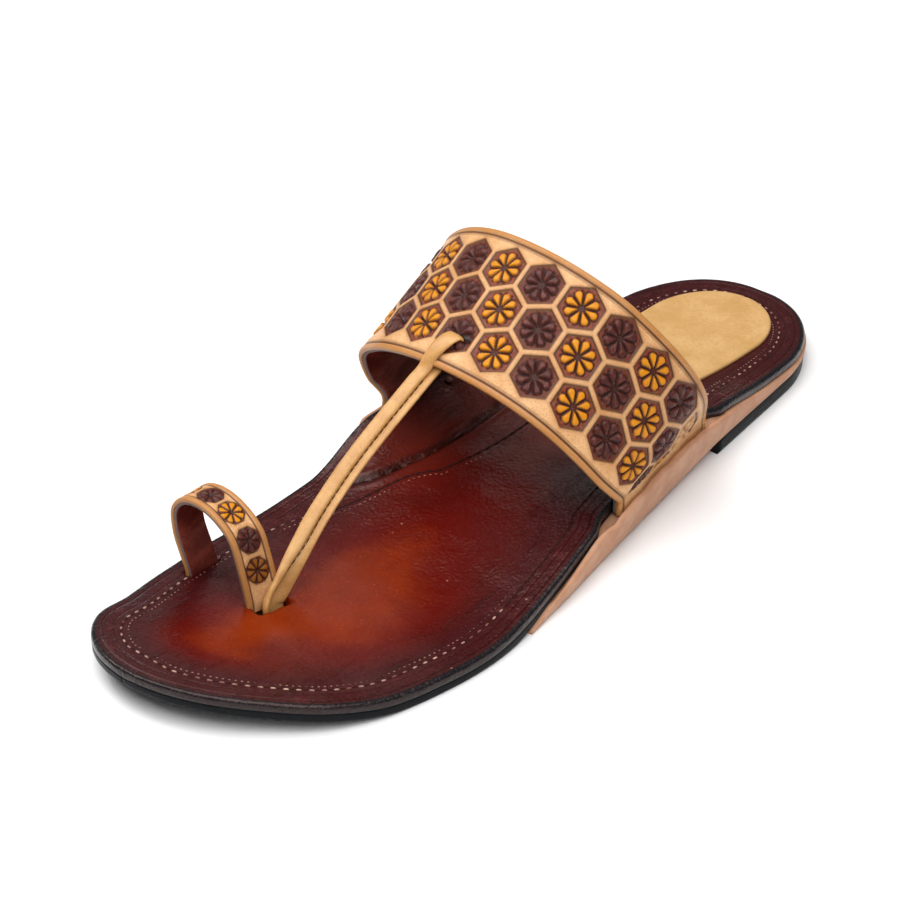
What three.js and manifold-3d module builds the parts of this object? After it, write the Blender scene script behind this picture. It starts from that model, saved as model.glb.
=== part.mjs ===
// Left kolhapuri chappal, an open leather slipper: a flat layered sole with a toe spring and a
// raised arch, a broad instep band, a thong and a loop for the big toe.
// Millimetres. The toe points to -Y, the heel to +Y, the outer side of the foot to +X, up is +Z.
import * as THREE from 'three';
import { mergeVertices } from 'three/addons/utils/BufferGeometryUtils.js';
import Module from 'manifold-3d';

const wasm = await Module();
wasm.setup();

// Driving dimensions
const LENGTH = 274;
const BALL_WIDTH = 93;
const TOE_ROUND = 45;
const HEEL_ROUND = 34;
const TOE_SPRING = 7.4;
const ARCH_RISE = 11;
const INSOLE_T = 2.7;
const OUTSOLE_T = 2.4;
const OUTSOLE_TAIL_T = 1.1;
const LIFT_T = 4.6;
const PAD_T = 1.1;
const GAP = 0.3;
const FEATHER = 0.35;

// The band's foot stands between the insole's edge and the lip of the wedge
const BAND_T = 2.6;
const LIP_H = 1.8;
const SIDE_STEP = 1.3;
const LIP_END_T = 0.15;
const LIP_END_H = 0.02;
const EAR_OUT = 5;
const EAR_RISE_MEDIAL = 4.7;
const EAR_RISE_LATERAL = 1.25;
const EAR_FROM = 0.45;
const EAR_TO = 1.15;
const LATERAL_NOTCH = 2;

// Instep band: where its front and rear edges stand and how high they arch
const BAND_HALF_WIDTH = 45;
const BAND_CENTRE = -1.5;
const BAND_FRONT = { medialFoot: 134, lateralFoot: 138, crown: 117.5, height: 51.4 };
const BAND_REAR = { medialFoot: 179, lateralFoot: 187, crown: 154, height: 76.7 };

// Toe loop and thong
const LOOP_T = 2.2;
const LOOP_WIDTH = 10.8;
const LOOP_FRONT_AT = 47;
const LOOP_MEDIAL = -36.6;
const LOOP_HEIGHT = 26.2;
const THONG_WIDTH = 5.6;
const THONG_FOOT_WIDTH = 8.6;
const THONG_T = 3.8;
const PLY_T = 1.9;
const SLOT_AT = 51.6;
const SLOT_X = -9.2;
const SLOT_TURN = 0.2;
const THONG_HEAD = { x: -9.6, inside: 2, below: 1.6 };
const THONG_HEAD_TURN = 0.25;
const NECK_RISE = 1;
const FOOT_RISE = 1;

// Outline of the sole: share of the length, centre line and half width as shares of the ball width
const OUTLINE = [
  { at: 0.0, centre: -0.112, half: 0.438 },
  { at: 0.05, centre: -0.066, half: 0.438 },
  { at: 0.1, centre: -0.005, half: 0.44 },
  { at: 0.2, centre: 0.028, half: 0.488 },
  { at: 0.28, centre: 0.044, half: 0.5 },
  { at: 0.38, centre: 0.045, half: 0.471 },
  { at: 0.5, centre: 0.046, half: 0.416 },
  { at: 0.6, centre: 0.044, half: 0.377 },
  { at: 0.72, centre: 0.016, half: 0.358 },
  { at: 0.84, centre: -0.019, half: 0.351 },
  { at: 0.93, centre: -0.036, half: 0.338 },
  { at: 1.0, centre: -0.05, half: 0.345 },
];

// Height of the insole's rim: share of the toe spring and share of the arch rise
const RIM = [
  { at: 0.0, toe: 1.0, arch: 0.0 },
  { at: 0.077, toe: 0.55, arch: 0.0 },
  { at: 0.15, toe: 0.1, arch: 0.0 },
  { at: 0.195, toe: 0.0, arch: 0.0 },
  { at: 0.3, toe: 0.0, arch: 0.01 },
  { at: 0.4, toe: 0.0, arch: 0.4 },
  { at: 0.5, toe: 0.0, arch: 0.8 },
  { at: 0.6, toe: 0.0, arch: 0.98 },
  { at: 0.72, toe: 0.0, arch: 0.98 },
  { at: 0.82, toe: 0.0, arch: 0.62 },
  { at: 0.91, toe: 0.0, arch: 0.45 },
  { at: 1.0, toe: 0.0, arch: 0.4 },
];

// How deep the footbed sinks below its rim along the middle, in mm
const DISH = [
  { at: 0.0, deep: 0.2 },
  { at: 0.3, deep: 0.4 },
  { at: 0.5, deep: 2.2 },
  { at: 0.65, deep: 2.0 },
  { at: 0.8, deep: 0.8 },
  { at: 1.0, deep: 0.4 },
];

// Sections of the band from its medial to its lateral side, between its two feet, at its front and
// its rear edge. Across is a share of the half width, up a share of the crown's height over the foot,
// and lean a share of the way that the crown stands forward of the foot.
const BAND = [
  { frontAcross: -1.0, frontUp: 0.15, frontLean: 0.1, rearAcross: -1.0, rearUp: 0.32, rearLean: 0.23 },
  { frontAcross: -0.97, frontUp: 0.51, frontLean: 0.4, rearAcross: -0.965, rearUp: 0.62, rearLean: 0.49 },
  { frontAcross: -0.73, frontUp: 0.78, frontLean: 0.69, rearAcross: -0.72, rearUp: 0.83, rearLean: 0.73 },
  { frontAcross: -0.39, frontUp: 0.95, frontLean: 0.91, rearAcross: -0.365, rearUp: 0.96, rearLean: 0.9 },
  { frontAcross: -0.01, frontUp: 1.0, frontLean: 1.0, rearAcross: 0.02, rearUp: 1.0, rearLean: 1.0 },
  { frontAcross: 0.34, frontUp: 0.94, frontLean: 0.965, rearAcross: 0.38, rearUp: 0.965, rearLean: 1.0 },
  { frontAcross: 0.627, frontUp: 0.77, frontLean: 0.82, rearAcross: 0.67, rearUp: 0.866, rearLean: 0.92 },
  { frontAcross: 0.833, frontUp: 0.52, frontLean: 0.6, rearAcross: 0.87, rearUp: 0.71, rearLean: 0.776 },
  { frontAcross: 0.975, frontUp: 0.23, frontLean: 0.33, rearAcross: 1.01, rearUp: 0.51, rearLean: 0.576 },
  { frontAcross: 1.02, frontUp: 0.06, frontLean: 0.1, rearAcross: 1.035, rearUp: 0.3, rearLean: 0.355 },
];

// Sections of the toe loop: share of the way from its medial to its lateral foot, share of its height
const LOOP = [
  { across: -0.15, up: 0.45 },
  { across: -0.14, up: 0.77 },
  { across: 0.03, up: 0.95 },
  { across: 0.28, up: 1.0 },
  { across: 0.55, up: 0.93 },
  { across: 0.745, up: 0.74 },
  { across: 0.855, up: 0.43 },
];

// The thong's middle line from the toe slot up to the band: share of the way, share of the rise, and
// how far in mm it bows towards the big toe
const THONG = [
  { along: 0.065, up: 0.17, bow: 0.2 },
  { along: 0.145, up: 0.28, bow: 0.6 },
  { along: 0.26, up: 0.41, bow: 1.1 },
  { along: 0.39, up: 0.535, bow: 1.3 },
  { along: 0.525, up: 0.655, bow: 1.2 },
  { along: 0.67, up: 0.77, bow: 0.8 },
  { along: 0.82, up: 0.88, bow: 0.3 },
];

// Smooth curve through a table's rows, level beyond its ends
function smooth(table, column, at) {
  const last = table.length - 1;
  if (at <= table[0].at) return table[0][column];
  if (at >= table[last].at) return table[last][column];
  let i = 0;
  while (table[i + 1].at < at) i += 1;
  const slope = (k) => {
    const low = Math.max(k - 1, 0);
    const high = Math.min(k + 1, last);
    return (table[high][column] - table[low][column]) / (table[high].at - table[low].at);
  };
  const span = table[i + 1].at - table[i].at;
  const t = (at - table[i].at) / span;
  const rise = table[i + 1][column] - table[i][column];
  const a = slope(i) * span;
  const b = slope(i + 1) * span;
  return table[i][column] + a * t + (3 * rise - 2 * a - b) * t * t + (a + b - 2 * rise) * t * t * t;
}

function step(low, high, value) {
  return THREE.MathUtils.smoothstep(value, low, high);
}

// Distances along the shoe are counted from the toe tip; y puts them in the shared frame
const y = (distance) => distance - LENGTH / 2;
const share = (distance) => distance / LENGTH;

// 1 where the waist turns up, and 1 where the band's feet stand, with a short run-out past each foot
const WAIST = { from: 0.36, full: 0.47, fade: 0.66, to: 0.74 };
const LIP = { full: 0.43, to: 0.78 };
const SEAT = { full: 0.018, to: 0.042 };
const waist = (at) => step(WAIST.from, WAIST.full, at) * (1 - step(WAIST.fade, WAIST.to, at));
const seat = (at, sign) => {
  const front = share(sign < 0 ? BAND_FRONT.medialFoot : BAND_FRONT.lateralFoot);
  const rear = share(sign < 0 ? BAND_REAR.medialFoot : BAND_REAR.lateralFoot);
  return step(front - SEAT.to, front - SEAT.full, at) * (1 - step(rear + SEAT.full, rear + SEAT.to, at));
};

// Rounding of the outline towards the toe tip and the heel end
function ends(at) {
  const toe = Math.max(0, 1 - (at * LENGTH) / TOE_ROUND);
  const heel = Math.max(0, 1 - ((1 - at) * LENGTH) / HEEL_ROUND);
  return Math.sqrt(Math.max(0, 1 - toe * toe)) * Math.sqrt(Math.max(0, 1 - heel * heel));
}
const centre = (at) => smooth(OUTLINE, 'centre', at) * BALL_WIDTH;
const half = (at) => smooth(OUTLINE, 'half', at) * BALL_WIDTH * ends(at);
const medialEdge = (at) => centre(at) - half(at) - EAR_OUT * waist(at);
const lateralEdge = (at) => centre(at) + half(at) - LATERAL_NOTCH * seat(at, 1);

// q runs over the sole from -1 at the medial edge to 1 at the lateral edge
const across = (at, q) => THREE.MathUtils.lerp(medialEdge(at), lateralEdge(at), (q + 1) / 2);
const shareAcross = (at, x) => {
  const q = (2 * (x - medialEdge(at))) / (lateralEdge(at) - medialEdge(at)) - 1;
  return THREE.MathUtils.clamp(q, -1, 1);
};

// Heights of the layers
const floorLine = (at) => TOE_SPRING * Math.max(0, smooth(RIM, 'toe', at));
const rim = (at) => floorLine(at) + OUTSOLE_T + GAP + INSOLE_T + ARCH_RISE * smooth(RIM, 'arch', at);
function insoleTop(at, q) {
  const turn = step(EAR_FROM, EAR_TO, Math.abs(q)) / step(EAR_FROM, EAR_TO, 1);
  const rise = (q < 0 ? EAR_RISE_MEDIAL : EAR_RISE_LATERAL) * waist(at) * turn;
  return rim(at) - smooth(DISH, 'deep', at) * (1 - q * q) + rise;
}
const insoleUnder = (at, q) => insoleTop(at, q) - INSOLE_T;
const outsoleTop = (at, q) => insoleUnder(at, q) - GAP;
// The outsole leaves the floor between LEAVE.from and LEAVE.to and thins out to its end under the arch
const OUTSOLE_END = 0.55;
const LEAVE = { from: 0.3, to: 0.38, thin: 0.45 };
function outsoleUnder(at, q) {
  const tail = THREE.MathUtils.lerp(OUTSOLE_TAIL_T, FEATHER, step(LEAVE.thin, OUTSOLE_END, at));
  return THREE.MathUtils.lerp(floorLine(at), outsoleTop(at, q) - tail, step(LEAVE.from, LEAVE.to, at));
}
const WEDGE_START = 0.338;
const WEDGE_CLIMB = 1.3;
const PAST_OUTSOLE = { from: 0.002, to: 0.012 };
function wedgeTop(at, q) {
  const past = step(OUTSOLE_END + PAST_OUTSOLE.from, OUTSOLE_END + PAST_OUTSOLE.to, at);
  return THREE.MathUtils.lerp(outsoleUnder(at, q), insoleUnder(at, q), past) - GAP;
}
const LIFT_START = 0.72;
function wedgeUnder(at, q) {
  const climb = THREE.MathUtils.clamp((at - WEDGE_START) / (LIFT_START - WEDGE_START), 0, 1);
  return Math.min((LIFT_T + GAP) * climb ** WEDGE_CLIMB, wedgeTop(at, q) - FEATHER);
}

// A closed body between two sheets of points, both given as rows of equal length
function closedSheet(top, under) {
  const rows = top.length;
  const columns = top[0].length;
  const points = [...top.flat(), ...under.flat()];
  const first = rows * columns;
  const upper = (i, j) => i * columns + j;
  const lower = (i, j) => first + i * columns + j;
  const faces = [];
  const quad = (a, b, c, d) => faces.push(a, b, c, a, c, d);
  for (let i = 0; i + 1 < rows; i += 1) {
    for (let j = 0; j + 1 < columns; j += 1) {
      quad(upper(i, j), upper(i, j + 1), upper(i + 1, j + 1), upper(i + 1, j));
      quad(lower(i, j), lower(i + 1, j), lower(i + 1, j + 1), lower(i, j + 1));
    }
    quad(upper(i, 0), upper(i + 1, 0), lower(i + 1, 0), lower(i, 0));
    quad(upper(i, columns - 1), lower(i, columns - 1), lower(i + 1, columns - 1), upper(i + 1, columns - 1));
  }
  for (let j = 0; j + 1 < columns; j += 1) {
    quad(upper(0, j), lower(0, j), lower(0, j + 1), upper(0, j + 1));
    quad(upper(rows - 1, j), upper(rows - 1, j + 1), lower(rows - 1, j + 1), lower(rows - 1, j));
  }
  let volume = 0;
  for (let k = 0; k < faces.length; k += 3) {
    const [a, b, c] = [points[faces[k]], points[faces[k + 1]], points[faces[k + 2]]];
    volume += a.dot(b.clone().cross(c));
  }
  if (volume < 0) faces.reverse();
  const geometry = new THREE.BufferGeometry();
  geometry.setFromPoints(points);
  geometry.setIndex(faces);
  return geometry;
}

function toSolid(geometry) {
  const bare = geometry.clone();
  bare.deleteAttribute('normal');
  bare.deleteAttribute('uv');
  const merged = mergeVertices(bare, 1e-4);
  return new wasm.Manifold(new wasm.Mesh({
    numProp: 3,
    vertProperties: Float32Array.from(merged.attributes.position.array),
    triVerts: Uint32Array.from(merged.index.array),
  }));
}

function fromSolid(solid) {
  const mesh = solid.getMesh();
  const geometry = new THREE.BufferGeometry();
  geometry.setAttribute('position', new THREE.BufferAttribute(mesh.vertProperties, 3));
  geometry.setIndex(new THREE.BufferAttribute(mesh.triVerts, 1));
  return geometry;
}

// Stations along the sole, closer together where the toe and the heel round in
function stations(from, to) {
  const list = [];
  const tip = 0.0006;
  for (const turn of [0, 0.18, 0.34, 0.5, 0.66, 0.82]) {
    const along = 1 - Math.cos((turn * Math.PI) / 2);
    list.push(tip + (TOE_ROUND / LENGTH) * along, 1 - tip / 2 - (HEEL_ROUND / LENGTH) * along);
  }
  for (let k = 4; k <= 23; k += 1) list.push(k / 26);
  const inside = list.filter((at) => at > from + 0.006 && at < to - 0.006);
  const start = Math.max(from, Math.min(...list));
  const end = Math.min(to, Math.max(...list));
  return [start, ...inside, end].sort((a, b) => a - b).filter((at, i, all) => i === 0 || at - all[i - 1] > 1e-4);
}

const COLUMNS = [-1, -0.86, -0.7, -0.54, -0.36, -0.12, 0.12, 0.36, 0.54, 0.7, 0.86, 1];

function layer(from, to, top, under) {
  const sheet = (height) => stations(from, to).map((at) => COLUMNS.map(
    (q) => new THREE.Vector3(across(at, q), y(at * LENGTH), height(at, q)),
  ));
  return closedSheet(sheet(top), sheet(under));
}

// Rectangle with eased corners, width along x and length along y
function easedRectangle(width, length, ease) {
  const [w, l] = [width / 2, length / 2];
  const corners = [[-w + ease, -l], [w - ease, -l], [w, -l + ease], [w, l - ease],
    [w - ease, l], [-w + ease, l], [-w, l - ease], [-w, -l + ease]];
  return corners.map(([a, b]) => new THREE.Vector2(a, b));
}

// A slot through the insole, its length along the shoe before it is turned
function slotCutter(x, distance, width, length, turn) {
  const depth = 4 * INSOLE_T;
  const shape = new THREE.Shape(easedRectangle(width, length, 2 * GAP));
  const geometry = new THREE.ExtrudeGeometry(shape, { depth, bevelEnabled: false });
  geometry.rotateZ(-turn);
  geometry.translate(x, y(distance), rim(share(distance)) - (INSOLE_T + depth) / 2);
  return toSolid(geometry);
}

// Outsole
const outsole = layer(0, OUTSOLE_END, outsoleTop, outsoleUnder);

// Insole, with the slot for thong and loop and a slot for the loop's medial foot
const loopMiddle = LOOP_FRONT_AT + LOOP_WIDTH / 2;
const slotLength = LOOP_WIDTH + 4 * GAP;
const toeSlotWidth = LOOP_T + THONG_T + 6 * GAP;
const insole = fromSolid(
  toSolid(layer(0, 1, insoleTop, insoleUnder))
    .subtract(slotCutter(SLOT_X, SLOT_AT, toeSlotWidth, slotLength, SLOT_TURN))
    .subtract(slotCutter(LOOP_MEDIAL + LOOP_T / 2, loopMiddle, LOOP_T + 3 * GAP, slotLength, 0)),
);

// Wedge: under the insole it follows the layers above, outside it stands up as a lip
function wedgeSheets() {
  const top = [];
  const under = [];
  for (const at of stations(WEDGE_START, 1)) {
    const lip = SIDE_STEP * step(WEDGE_START, LIP.full, at) * (1 - step(LIFT_START, LIP.to, at)) + LIP_END_T;
    const rise = LIP_H * waist(at) + LIP_END_H;
    const side = (edge, q, sign) => {
      const floor = wedgeTop(at, q);
      const room = GAP + (BAND_T + 2 * GAP) * seat(at, sign);
      const inner = edge + sign * room;
      const outer = inner + sign * lip;
      return [[outer, floor + rise], [inner, floor + rise], [inner, floor]];
    };
    const medial = side(medialEdge(at), -1, -1);
    const lateral = side(lateralEdge(at), 1, 1).reverse();
    const middle = COLUMNS.map((q) => [across(at, q), wedgeTop(at, q)]);
    const rowTop = [...medial, ...middle, ...lateral];
    const rowUnder = rowTop.map((_, j) => {
      const q = (2 * j) / (rowTop.length - 1) - 1;
      return [centre(at) + q * half(at), wedgeUnder(at, q)];
    });
    top.push(rowTop.map(([x, z]) => new THREE.Vector3(x, y(at * LENGTH), z)));
    under.push(rowUnder.map(([x, z]) => new THREE.Vector3(x, y(at * LENGTH), z)));
  }
  return [top, under];
}
const [wedgeTopRows, wedgeUnderRows] = wedgeSheets();
const wedge = closedSheet(wedgeTopRows, wedgeUnderRows);

// Heel lift, cut straight across at its front
function liftSheet(height) {
  return stations(LIFT_START, 1).map((at) => [-1, -0.5, 0, 0.5, 1].map(
    (q) => new THREE.Vector3(centre(at) + q * half(at), y(at * LENGTH), height),
  ));
}
const heelLift = closedSheet(liftSheet(LIFT_T), liftSheet(0));

// Heel pad, a thin tongue-shaped sock over the heel seat
const PAD_START = 0.62;
const PAD_END = 0.968;
const PAD_HALF = 20;
const PAD_ROUND = 25;
const PAD_MIDDLE = { front: 1, rear: -4.5 };
const PAD_ROWS = 16;
function padSheet(lift) {
  const rows = [];
  const length = (PAD_END - PAD_START) * LENGTH;
  for (let k = 0; k <= PAD_ROWS; k += 1) {
    const turn = k / PAD_ROWS;
    const along = THREE.MathUtils.lerp(0.002, 0.998, Math.sin((turn * Math.PI) / 2) ** 1.2);
    const at = PAD_START + (PAD_END - PAD_START) * along;
    const rear = Math.max(0, 1 - ((1 - along) * length) / PAD_ROUND);
    const front = Math.max(0, 1 - (along * length) / PAD_ROUND);
    const width = PAD_HALF * Math.sqrt(1 - rear * rear) * Math.sqrt(1 - front * front);
    const middle = THREE.MathUtils.lerp(PAD_MIDDLE.front, PAD_MIDDLE.rear, along);
    rows.push([-1, -0.66, -0.33, 0, 0.33, 0.66, 1].map((q) => {
      const x = middle + q * width;
      return new THREE.Vector3(x, y(at * LENGTH), insoleTop(at, shareAcross(at, x)) + lift);
    }));
  }
  return rows;
}
const heelPad = closedSheet(padSheet(GAP + PAD_T), padSheet(GAP));

// A strap whose outer face runs through lines from its front to its rear edge; the edges are eased.
// lineAt gives the line's points for a share of the width.
const EDGE_EASE = 0.5;
function strap(lineAt, count, thickness, widths) {
  const lines = widths.map(
    (w) => new THREE.CatmullRomCurve3(lineAt(w), false, 'centripetal').getSpacedPoints(count),
  );
  const last = lines.length - 1;
  const top = [];
  const under = [];
  for (let i = 0; i <= count; i += 1) {
    const outward = lines.map((line, j) => {
      const way = line[Math.min(i + 1, count)].clone().sub(line[Math.max(i - 1, 0)]);
      const wide = lines[Math.min(j + 1, last)][i].clone().sub(lines[Math.max(j - 1, 0)][i]);
      return way.cross(wide).normalize();
    });
    const sunk = (depth) => lines.map((line, j) => line[i].clone().addScaledVector(outward[j], -depth(j)));
    top.push(sunk((j) => (j === 0 || j === last ? EDGE_EASE : 0)));
    under.push(sunk(() => thickness));
  }
  return closedSheet(top, under);
}

// A foot of the band: its outer face stands off the insole's edge by the wall and a gap
function bandFoot(distance, sign, above) {
  const at = share(distance);
  const edge = sign < 0 ? medialEdge(at) : lateralEdge(at);
  const z = above ? insoleTop(at, sign) + FOOT_RISE : wedgeTop(at, sign) + GAP;
  return new THREE.Vector3(edge + sign * (GAP + BAND_T), y(distance), z);
}

function bandLine(w) {
  const mix = (low, high) => THREE.MathUtils.lerp(low, high, w);
  const medialAt = mix(BAND_FRONT.medialFoot, BAND_REAR.medialFoot);
  const lateralAt = mix(BAND_FRONT.lateralFoot, BAND_REAR.lateralFoot);
  const medial = bandFoot(medialAt, -1, true);
  const lateral = bandFoot(lateralAt, 1, true);
  const crown = y(mix(BAND_FRONT.crown, BAND_REAR.crown));
  const height = mix(BAND_FRONT.height, BAND_REAR.height);
  const middle = BAND.map((row) => {
    const side = mix(row.frontAcross, row.rearAcross);
    const foot = side < 0 ? medial : lateral;
    return new THREE.Vector3(
      BAND_CENTRE + side * BAND_HALF_WIDTH,
      THREE.MathUtils.lerp(foot.y, crown, mix(row.frontLean, row.rearLean)),
      THREE.MathUtils.lerp(foot.z, height, mix(row.frontUp, row.rearUp)),
    );
  });
  return [bandFoot(medialAt, -1, false), medial, ...middle, lateral, bandFoot(lateralAt, 1, false)];
}
const band = strap(bandLine, 44, BAND_T, [0, 0.03, 0.26, 0.5, 0.74, 0.97, 1]);

// A strap folded lengthwise, swept along points. Its width starts in the direction turns[0] of the
// sole's plane and is turned to turns[1] by a third of its length, and it narrows from widths[0] to widths[1].
const FOLD_EASE = 0.28;
const TWIST = { from: 0.08, to: 0.3 };
function sweep(points, widths, thick, turns, count) {
  const curve = new THREE.CatmullRomCurve3(points, false, 'centripetal');
  const top = [];
  const under = [];
  for (let i = 0; i <= count; i += 1) {
    const u = i / count;
    const way = curve.getTangentAt(u);
    const turned = step(TWIST.from, TWIST.to, u);
    const turn = THREE.MathUtils.lerp(turns[0], turns[1], turned);
    const flat = new THREE.Vector3(Math.cos(turn), Math.sin(turn), 0);
    const wide = flat.addScaledVector(way, -flat.dot(way)).normalize();
    const out = wide.clone().cross(way).normalize();
    const middle = curve.getPointAt(u);
    const width = THREE.MathUtils.lerp(widths[0], widths[1], turned);
    const ring = easedRectangle(thick, width, FOLD_EASE * thick).map(
      (p) => middle.clone().addScaledVector(wide, p.y).addScaledVector(out, p.x),
    );
    top.push([ring[1], ring[2], ring[3], ring[4]]);
    under.push([ring[0], ring[7], ring[6], ring[5]]);
  }
  return closedSheet(top, under);
}

// Thong: from the toe slot, over the gap beside the big toe, to the band's front edge
const slotAt = share(SLOT_AT);
const thongFootX = SLOT_X + (LOOP_T + GAP) / 2 + GAP;
const slotFloor = outsoleTop(slotAt, shareAcross(slotAt, thongFootX)) + 1.5 * GAP;
const thongFoot = new THREE.Vector3(thongFootX, y(SLOT_AT), slotFloor);
const thongNeck = thongFoot.clone().setZ(slotFloor + INSOLE_T + NECK_RISE);
const thongHead = new THREE.Vector3(
  THONG_HEAD.x,
  y(BAND_FRONT.crown + THONG_HEAD.inside),
  BAND_FRONT.height - THONG_HEAD.below,
);
const thongPoints = [
  thongFoot,
  thongNeck,
  ...THONG.map(({ along, up, bow }) => new THREE.Vector3(
    THREE.MathUtils.lerp(thongFoot.x, thongHead.x, along) - bow,
    THREE.MathUtils.lerp(thongFoot.y, thongHead.y, along),
    THREE.MathUtils.lerp(thongFoot.z, thongHead.z, up),
  )),
  thongHead,
];
const thong = sweep(
  thongPoints,
  [THONG_FOOT_WIDTH, THONG_WIDTH],
  THONG_T,
  [Math.PI / 2 - SLOT_TURN, THONG_HEAD_TURN],
  24,
);

// The thong's upper ply climbs over the front edge and dives into a slit in the band
const overEdge = [
  { forward: -9, above: -5.5, side: 0 },
  { forward: -4, above: -3, side: 0 },
  { forward: -0.7, above: -1, side: 0.1 },
  { forward: 1.9, above: 2.2, side: 1 },
  { forward: 5.3, above: 4.5, side: 1.9 },
  { forward: 7.4, above: 5.5, side: 3.4 },
  { forward: 8.8, above: 5, side: 5.4 },
  { forward: 9.4, above: 4.2, side: 6.4 },
];
const plyPoints = overEdge.map(({ forward, above, side }) => new THREE.Vector3(
  thongHead.x + side,
  y(BAND_FRONT.crown + forward),
  BAND_FRONT.height + above,
));
const ply = sweep(plyPoints, [THONG_WIDTH, THONG_WIDTH], PLY_T, [THONG_HEAD_TURN, THONG_HEAD_TURN], 10);
const upperStraps = fromSolid(toSolid(band).add(toSolid(thong)).add(toSolid(ply)));

// Toe loop, both feet let into the insole. Each foot stands straight up through its slot.
const loopInSlot = SLOT_X - (THONG_T + GAP) / 2 + LOOP_T / 2;
function loopLine(w) {
  const distance = LOOP_FRONT_AT + w * LOOP_WIDTH;
  const aside = (w - 0.5) * LOOP_WIDTH;
  const lateralX = loopInSlot + aside * Math.sin(SLOT_TURN);
  const lateralDistance = SLOT_AT + aside * Math.cos(SLOT_TURN);
  const foot = (x, d, above) => {
    const at = share(d);
    const z = above ? rim(at) + GAP : outsoleTop(at, shareAcross(at, x)) + GAP;
    return new THREE.Vector3(x, y(d), z);
  };
  const middle = LOOP.map((row) => new THREE.Vector3(
    THREE.MathUtils.lerp(LOOP_MEDIAL, lateralX, row.across),
    y(THREE.MathUtils.lerp(distance, lateralDistance, Math.max(0, row.across) ** 2)),
    rim(share(distance)) + LOOP_HEIGHT * row.up,
  ));
  return [
    foot(LOOP_MEDIAL, distance, false),
    foot(LOOP_MEDIAL, distance, true),
    ...middle,
    foot(lateralX, lateralDistance, true),
    foot(lateralX, lateralDistance, false),
  ];
}
const toeLoop = strap(loopLine, 34, LOOP_T, [0, 0.06, 0.5, 0.94, 1]);

// Leathers: colour, roughness
const leather = {
  blackEdge: { color: 0x17181b, roughness: 0.5 },
  burgundy: { color: 0x5a1712, roughness: 0.3 },
  natural: { color: 0xc59479, roughness: 0.6 },
  tooled: { color: 0xcf9a5c, roughness: 0.5 },
  sock: { color: 0xd2a868, roughness: 0.7 },
};

const pieces = [
  ['outsole', outsole, leather.blackEdge],
  ['midsole_wedge', wedge, leather.natural],
  ['heel_lift', heelLift, leather.blackEdge],
  ['insole', insole, leather.burgundy],
  ['heel_pad', heelPad, leather.sock],
  ['upper_straps', upperStraps, leather.tooled],
  ['toe_loop', toeLoop, leather.tooled],
];

const group = new THREE.Group();
for (const [name, geometry, finish] of pieces) {
  geometry.computeVertexNormals();
  const mesh = new THREE.Mesh(geometry, new THREE.MeshStandardMaterial({ ...finish, metalness: 0 }));
  mesh.name = name;
  group.add(mesh);
}

// The frame's origin is the middle of the whole box, on the floor
const box = new THREE.Box3().setFromObject(group);
group.position.set(-(box.min.x + box.max.x) / 2, -(box.min.y + box.max.y) / 2, -box.min.z);

export default group;
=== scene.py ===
# %% [markdown]
# A left kolhapuri chappal: a flat leather slipper with a tooled band over the instep, a loop for
# the big toe and a thong between them. The solids of the frame already hold its form. This lesson
# dresses them with finer surfaces, each worked out as a formula on a grid of points, and with
# leather finishes built from shader nodes. All lengths in the script are millimetres.

# %% Load the frame
import math

import bpy
import numpy as np
from mathutils import Matrix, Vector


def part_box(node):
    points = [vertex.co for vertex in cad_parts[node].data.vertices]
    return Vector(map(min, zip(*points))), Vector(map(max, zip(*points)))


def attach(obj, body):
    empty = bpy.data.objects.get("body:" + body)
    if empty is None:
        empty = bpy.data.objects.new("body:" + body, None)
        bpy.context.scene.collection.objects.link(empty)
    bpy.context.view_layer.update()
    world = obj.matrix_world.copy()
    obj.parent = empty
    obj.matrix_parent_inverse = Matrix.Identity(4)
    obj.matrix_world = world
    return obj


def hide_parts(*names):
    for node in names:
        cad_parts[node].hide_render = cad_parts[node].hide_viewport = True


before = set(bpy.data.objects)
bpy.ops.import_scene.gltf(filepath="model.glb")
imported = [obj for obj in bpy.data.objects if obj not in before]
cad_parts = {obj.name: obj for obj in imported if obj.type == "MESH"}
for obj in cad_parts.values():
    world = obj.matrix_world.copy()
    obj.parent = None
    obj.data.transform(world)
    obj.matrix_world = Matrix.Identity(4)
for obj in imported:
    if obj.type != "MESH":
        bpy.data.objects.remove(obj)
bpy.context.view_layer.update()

MM = 0.001

# %% [markdown]
# The camera comes first, because every later step is judged through it. The photograph looks down
# on the toe from the outer side. A long lens keeps the toe from growing against the heel. The
# camera's axes are written straight from its azimuth, its elevation and a slight roll.

# %% Camera
CAMERA_AT = (406.1, -477.8, 419.9)
AZIMUTH, ELEVATION, ROLL = 41.74, 32.68, -0.8
FOCAL_PIXELS, IMAGE_PIXELS, SENSOR_MM, CLIP_START_M = 2600.0, 900.0, 36.0, 0.05

az, el, roll = (math.radians(v) for v in (AZIMUTH, ELEVATION, ROLL))
back = np.array([math.sin(az) * math.cos(el), -math.cos(az) * math.cos(el), math.sin(el)])
level = np.array([math.cos(az), math.sin(az), 0.0])
rise = np.cross(back, level)
right = level * math.cos(roll) + rise * math.sin(roll)
up = rise * math.cos(roll) - level * math.sin(roll)

lens = bpy.data.cameras.new("photo_camera")
lens.sensor_width = SENSOR_MM
lens.lens = SENSOR_MM * FOCAL_PIXELS / IMAGE_PIXELS
lens.clip_start = CLIP_START_M
camera = bpy.data.objects.new("photo_camera", lens)
bpy.context.collection.objects.link(camera)
turn = np.eye(4)
turn[:3, :3] = np.stack([right, up, back], axis=1)
turn[:3, 3] = np.array(CAMERA_AT) * MM
camera.matrix_world = Matrix(turn.tolist())
bpy.context.scene.camera = camera
print("lens", round(lens.lens, 1), "mm")

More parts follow.
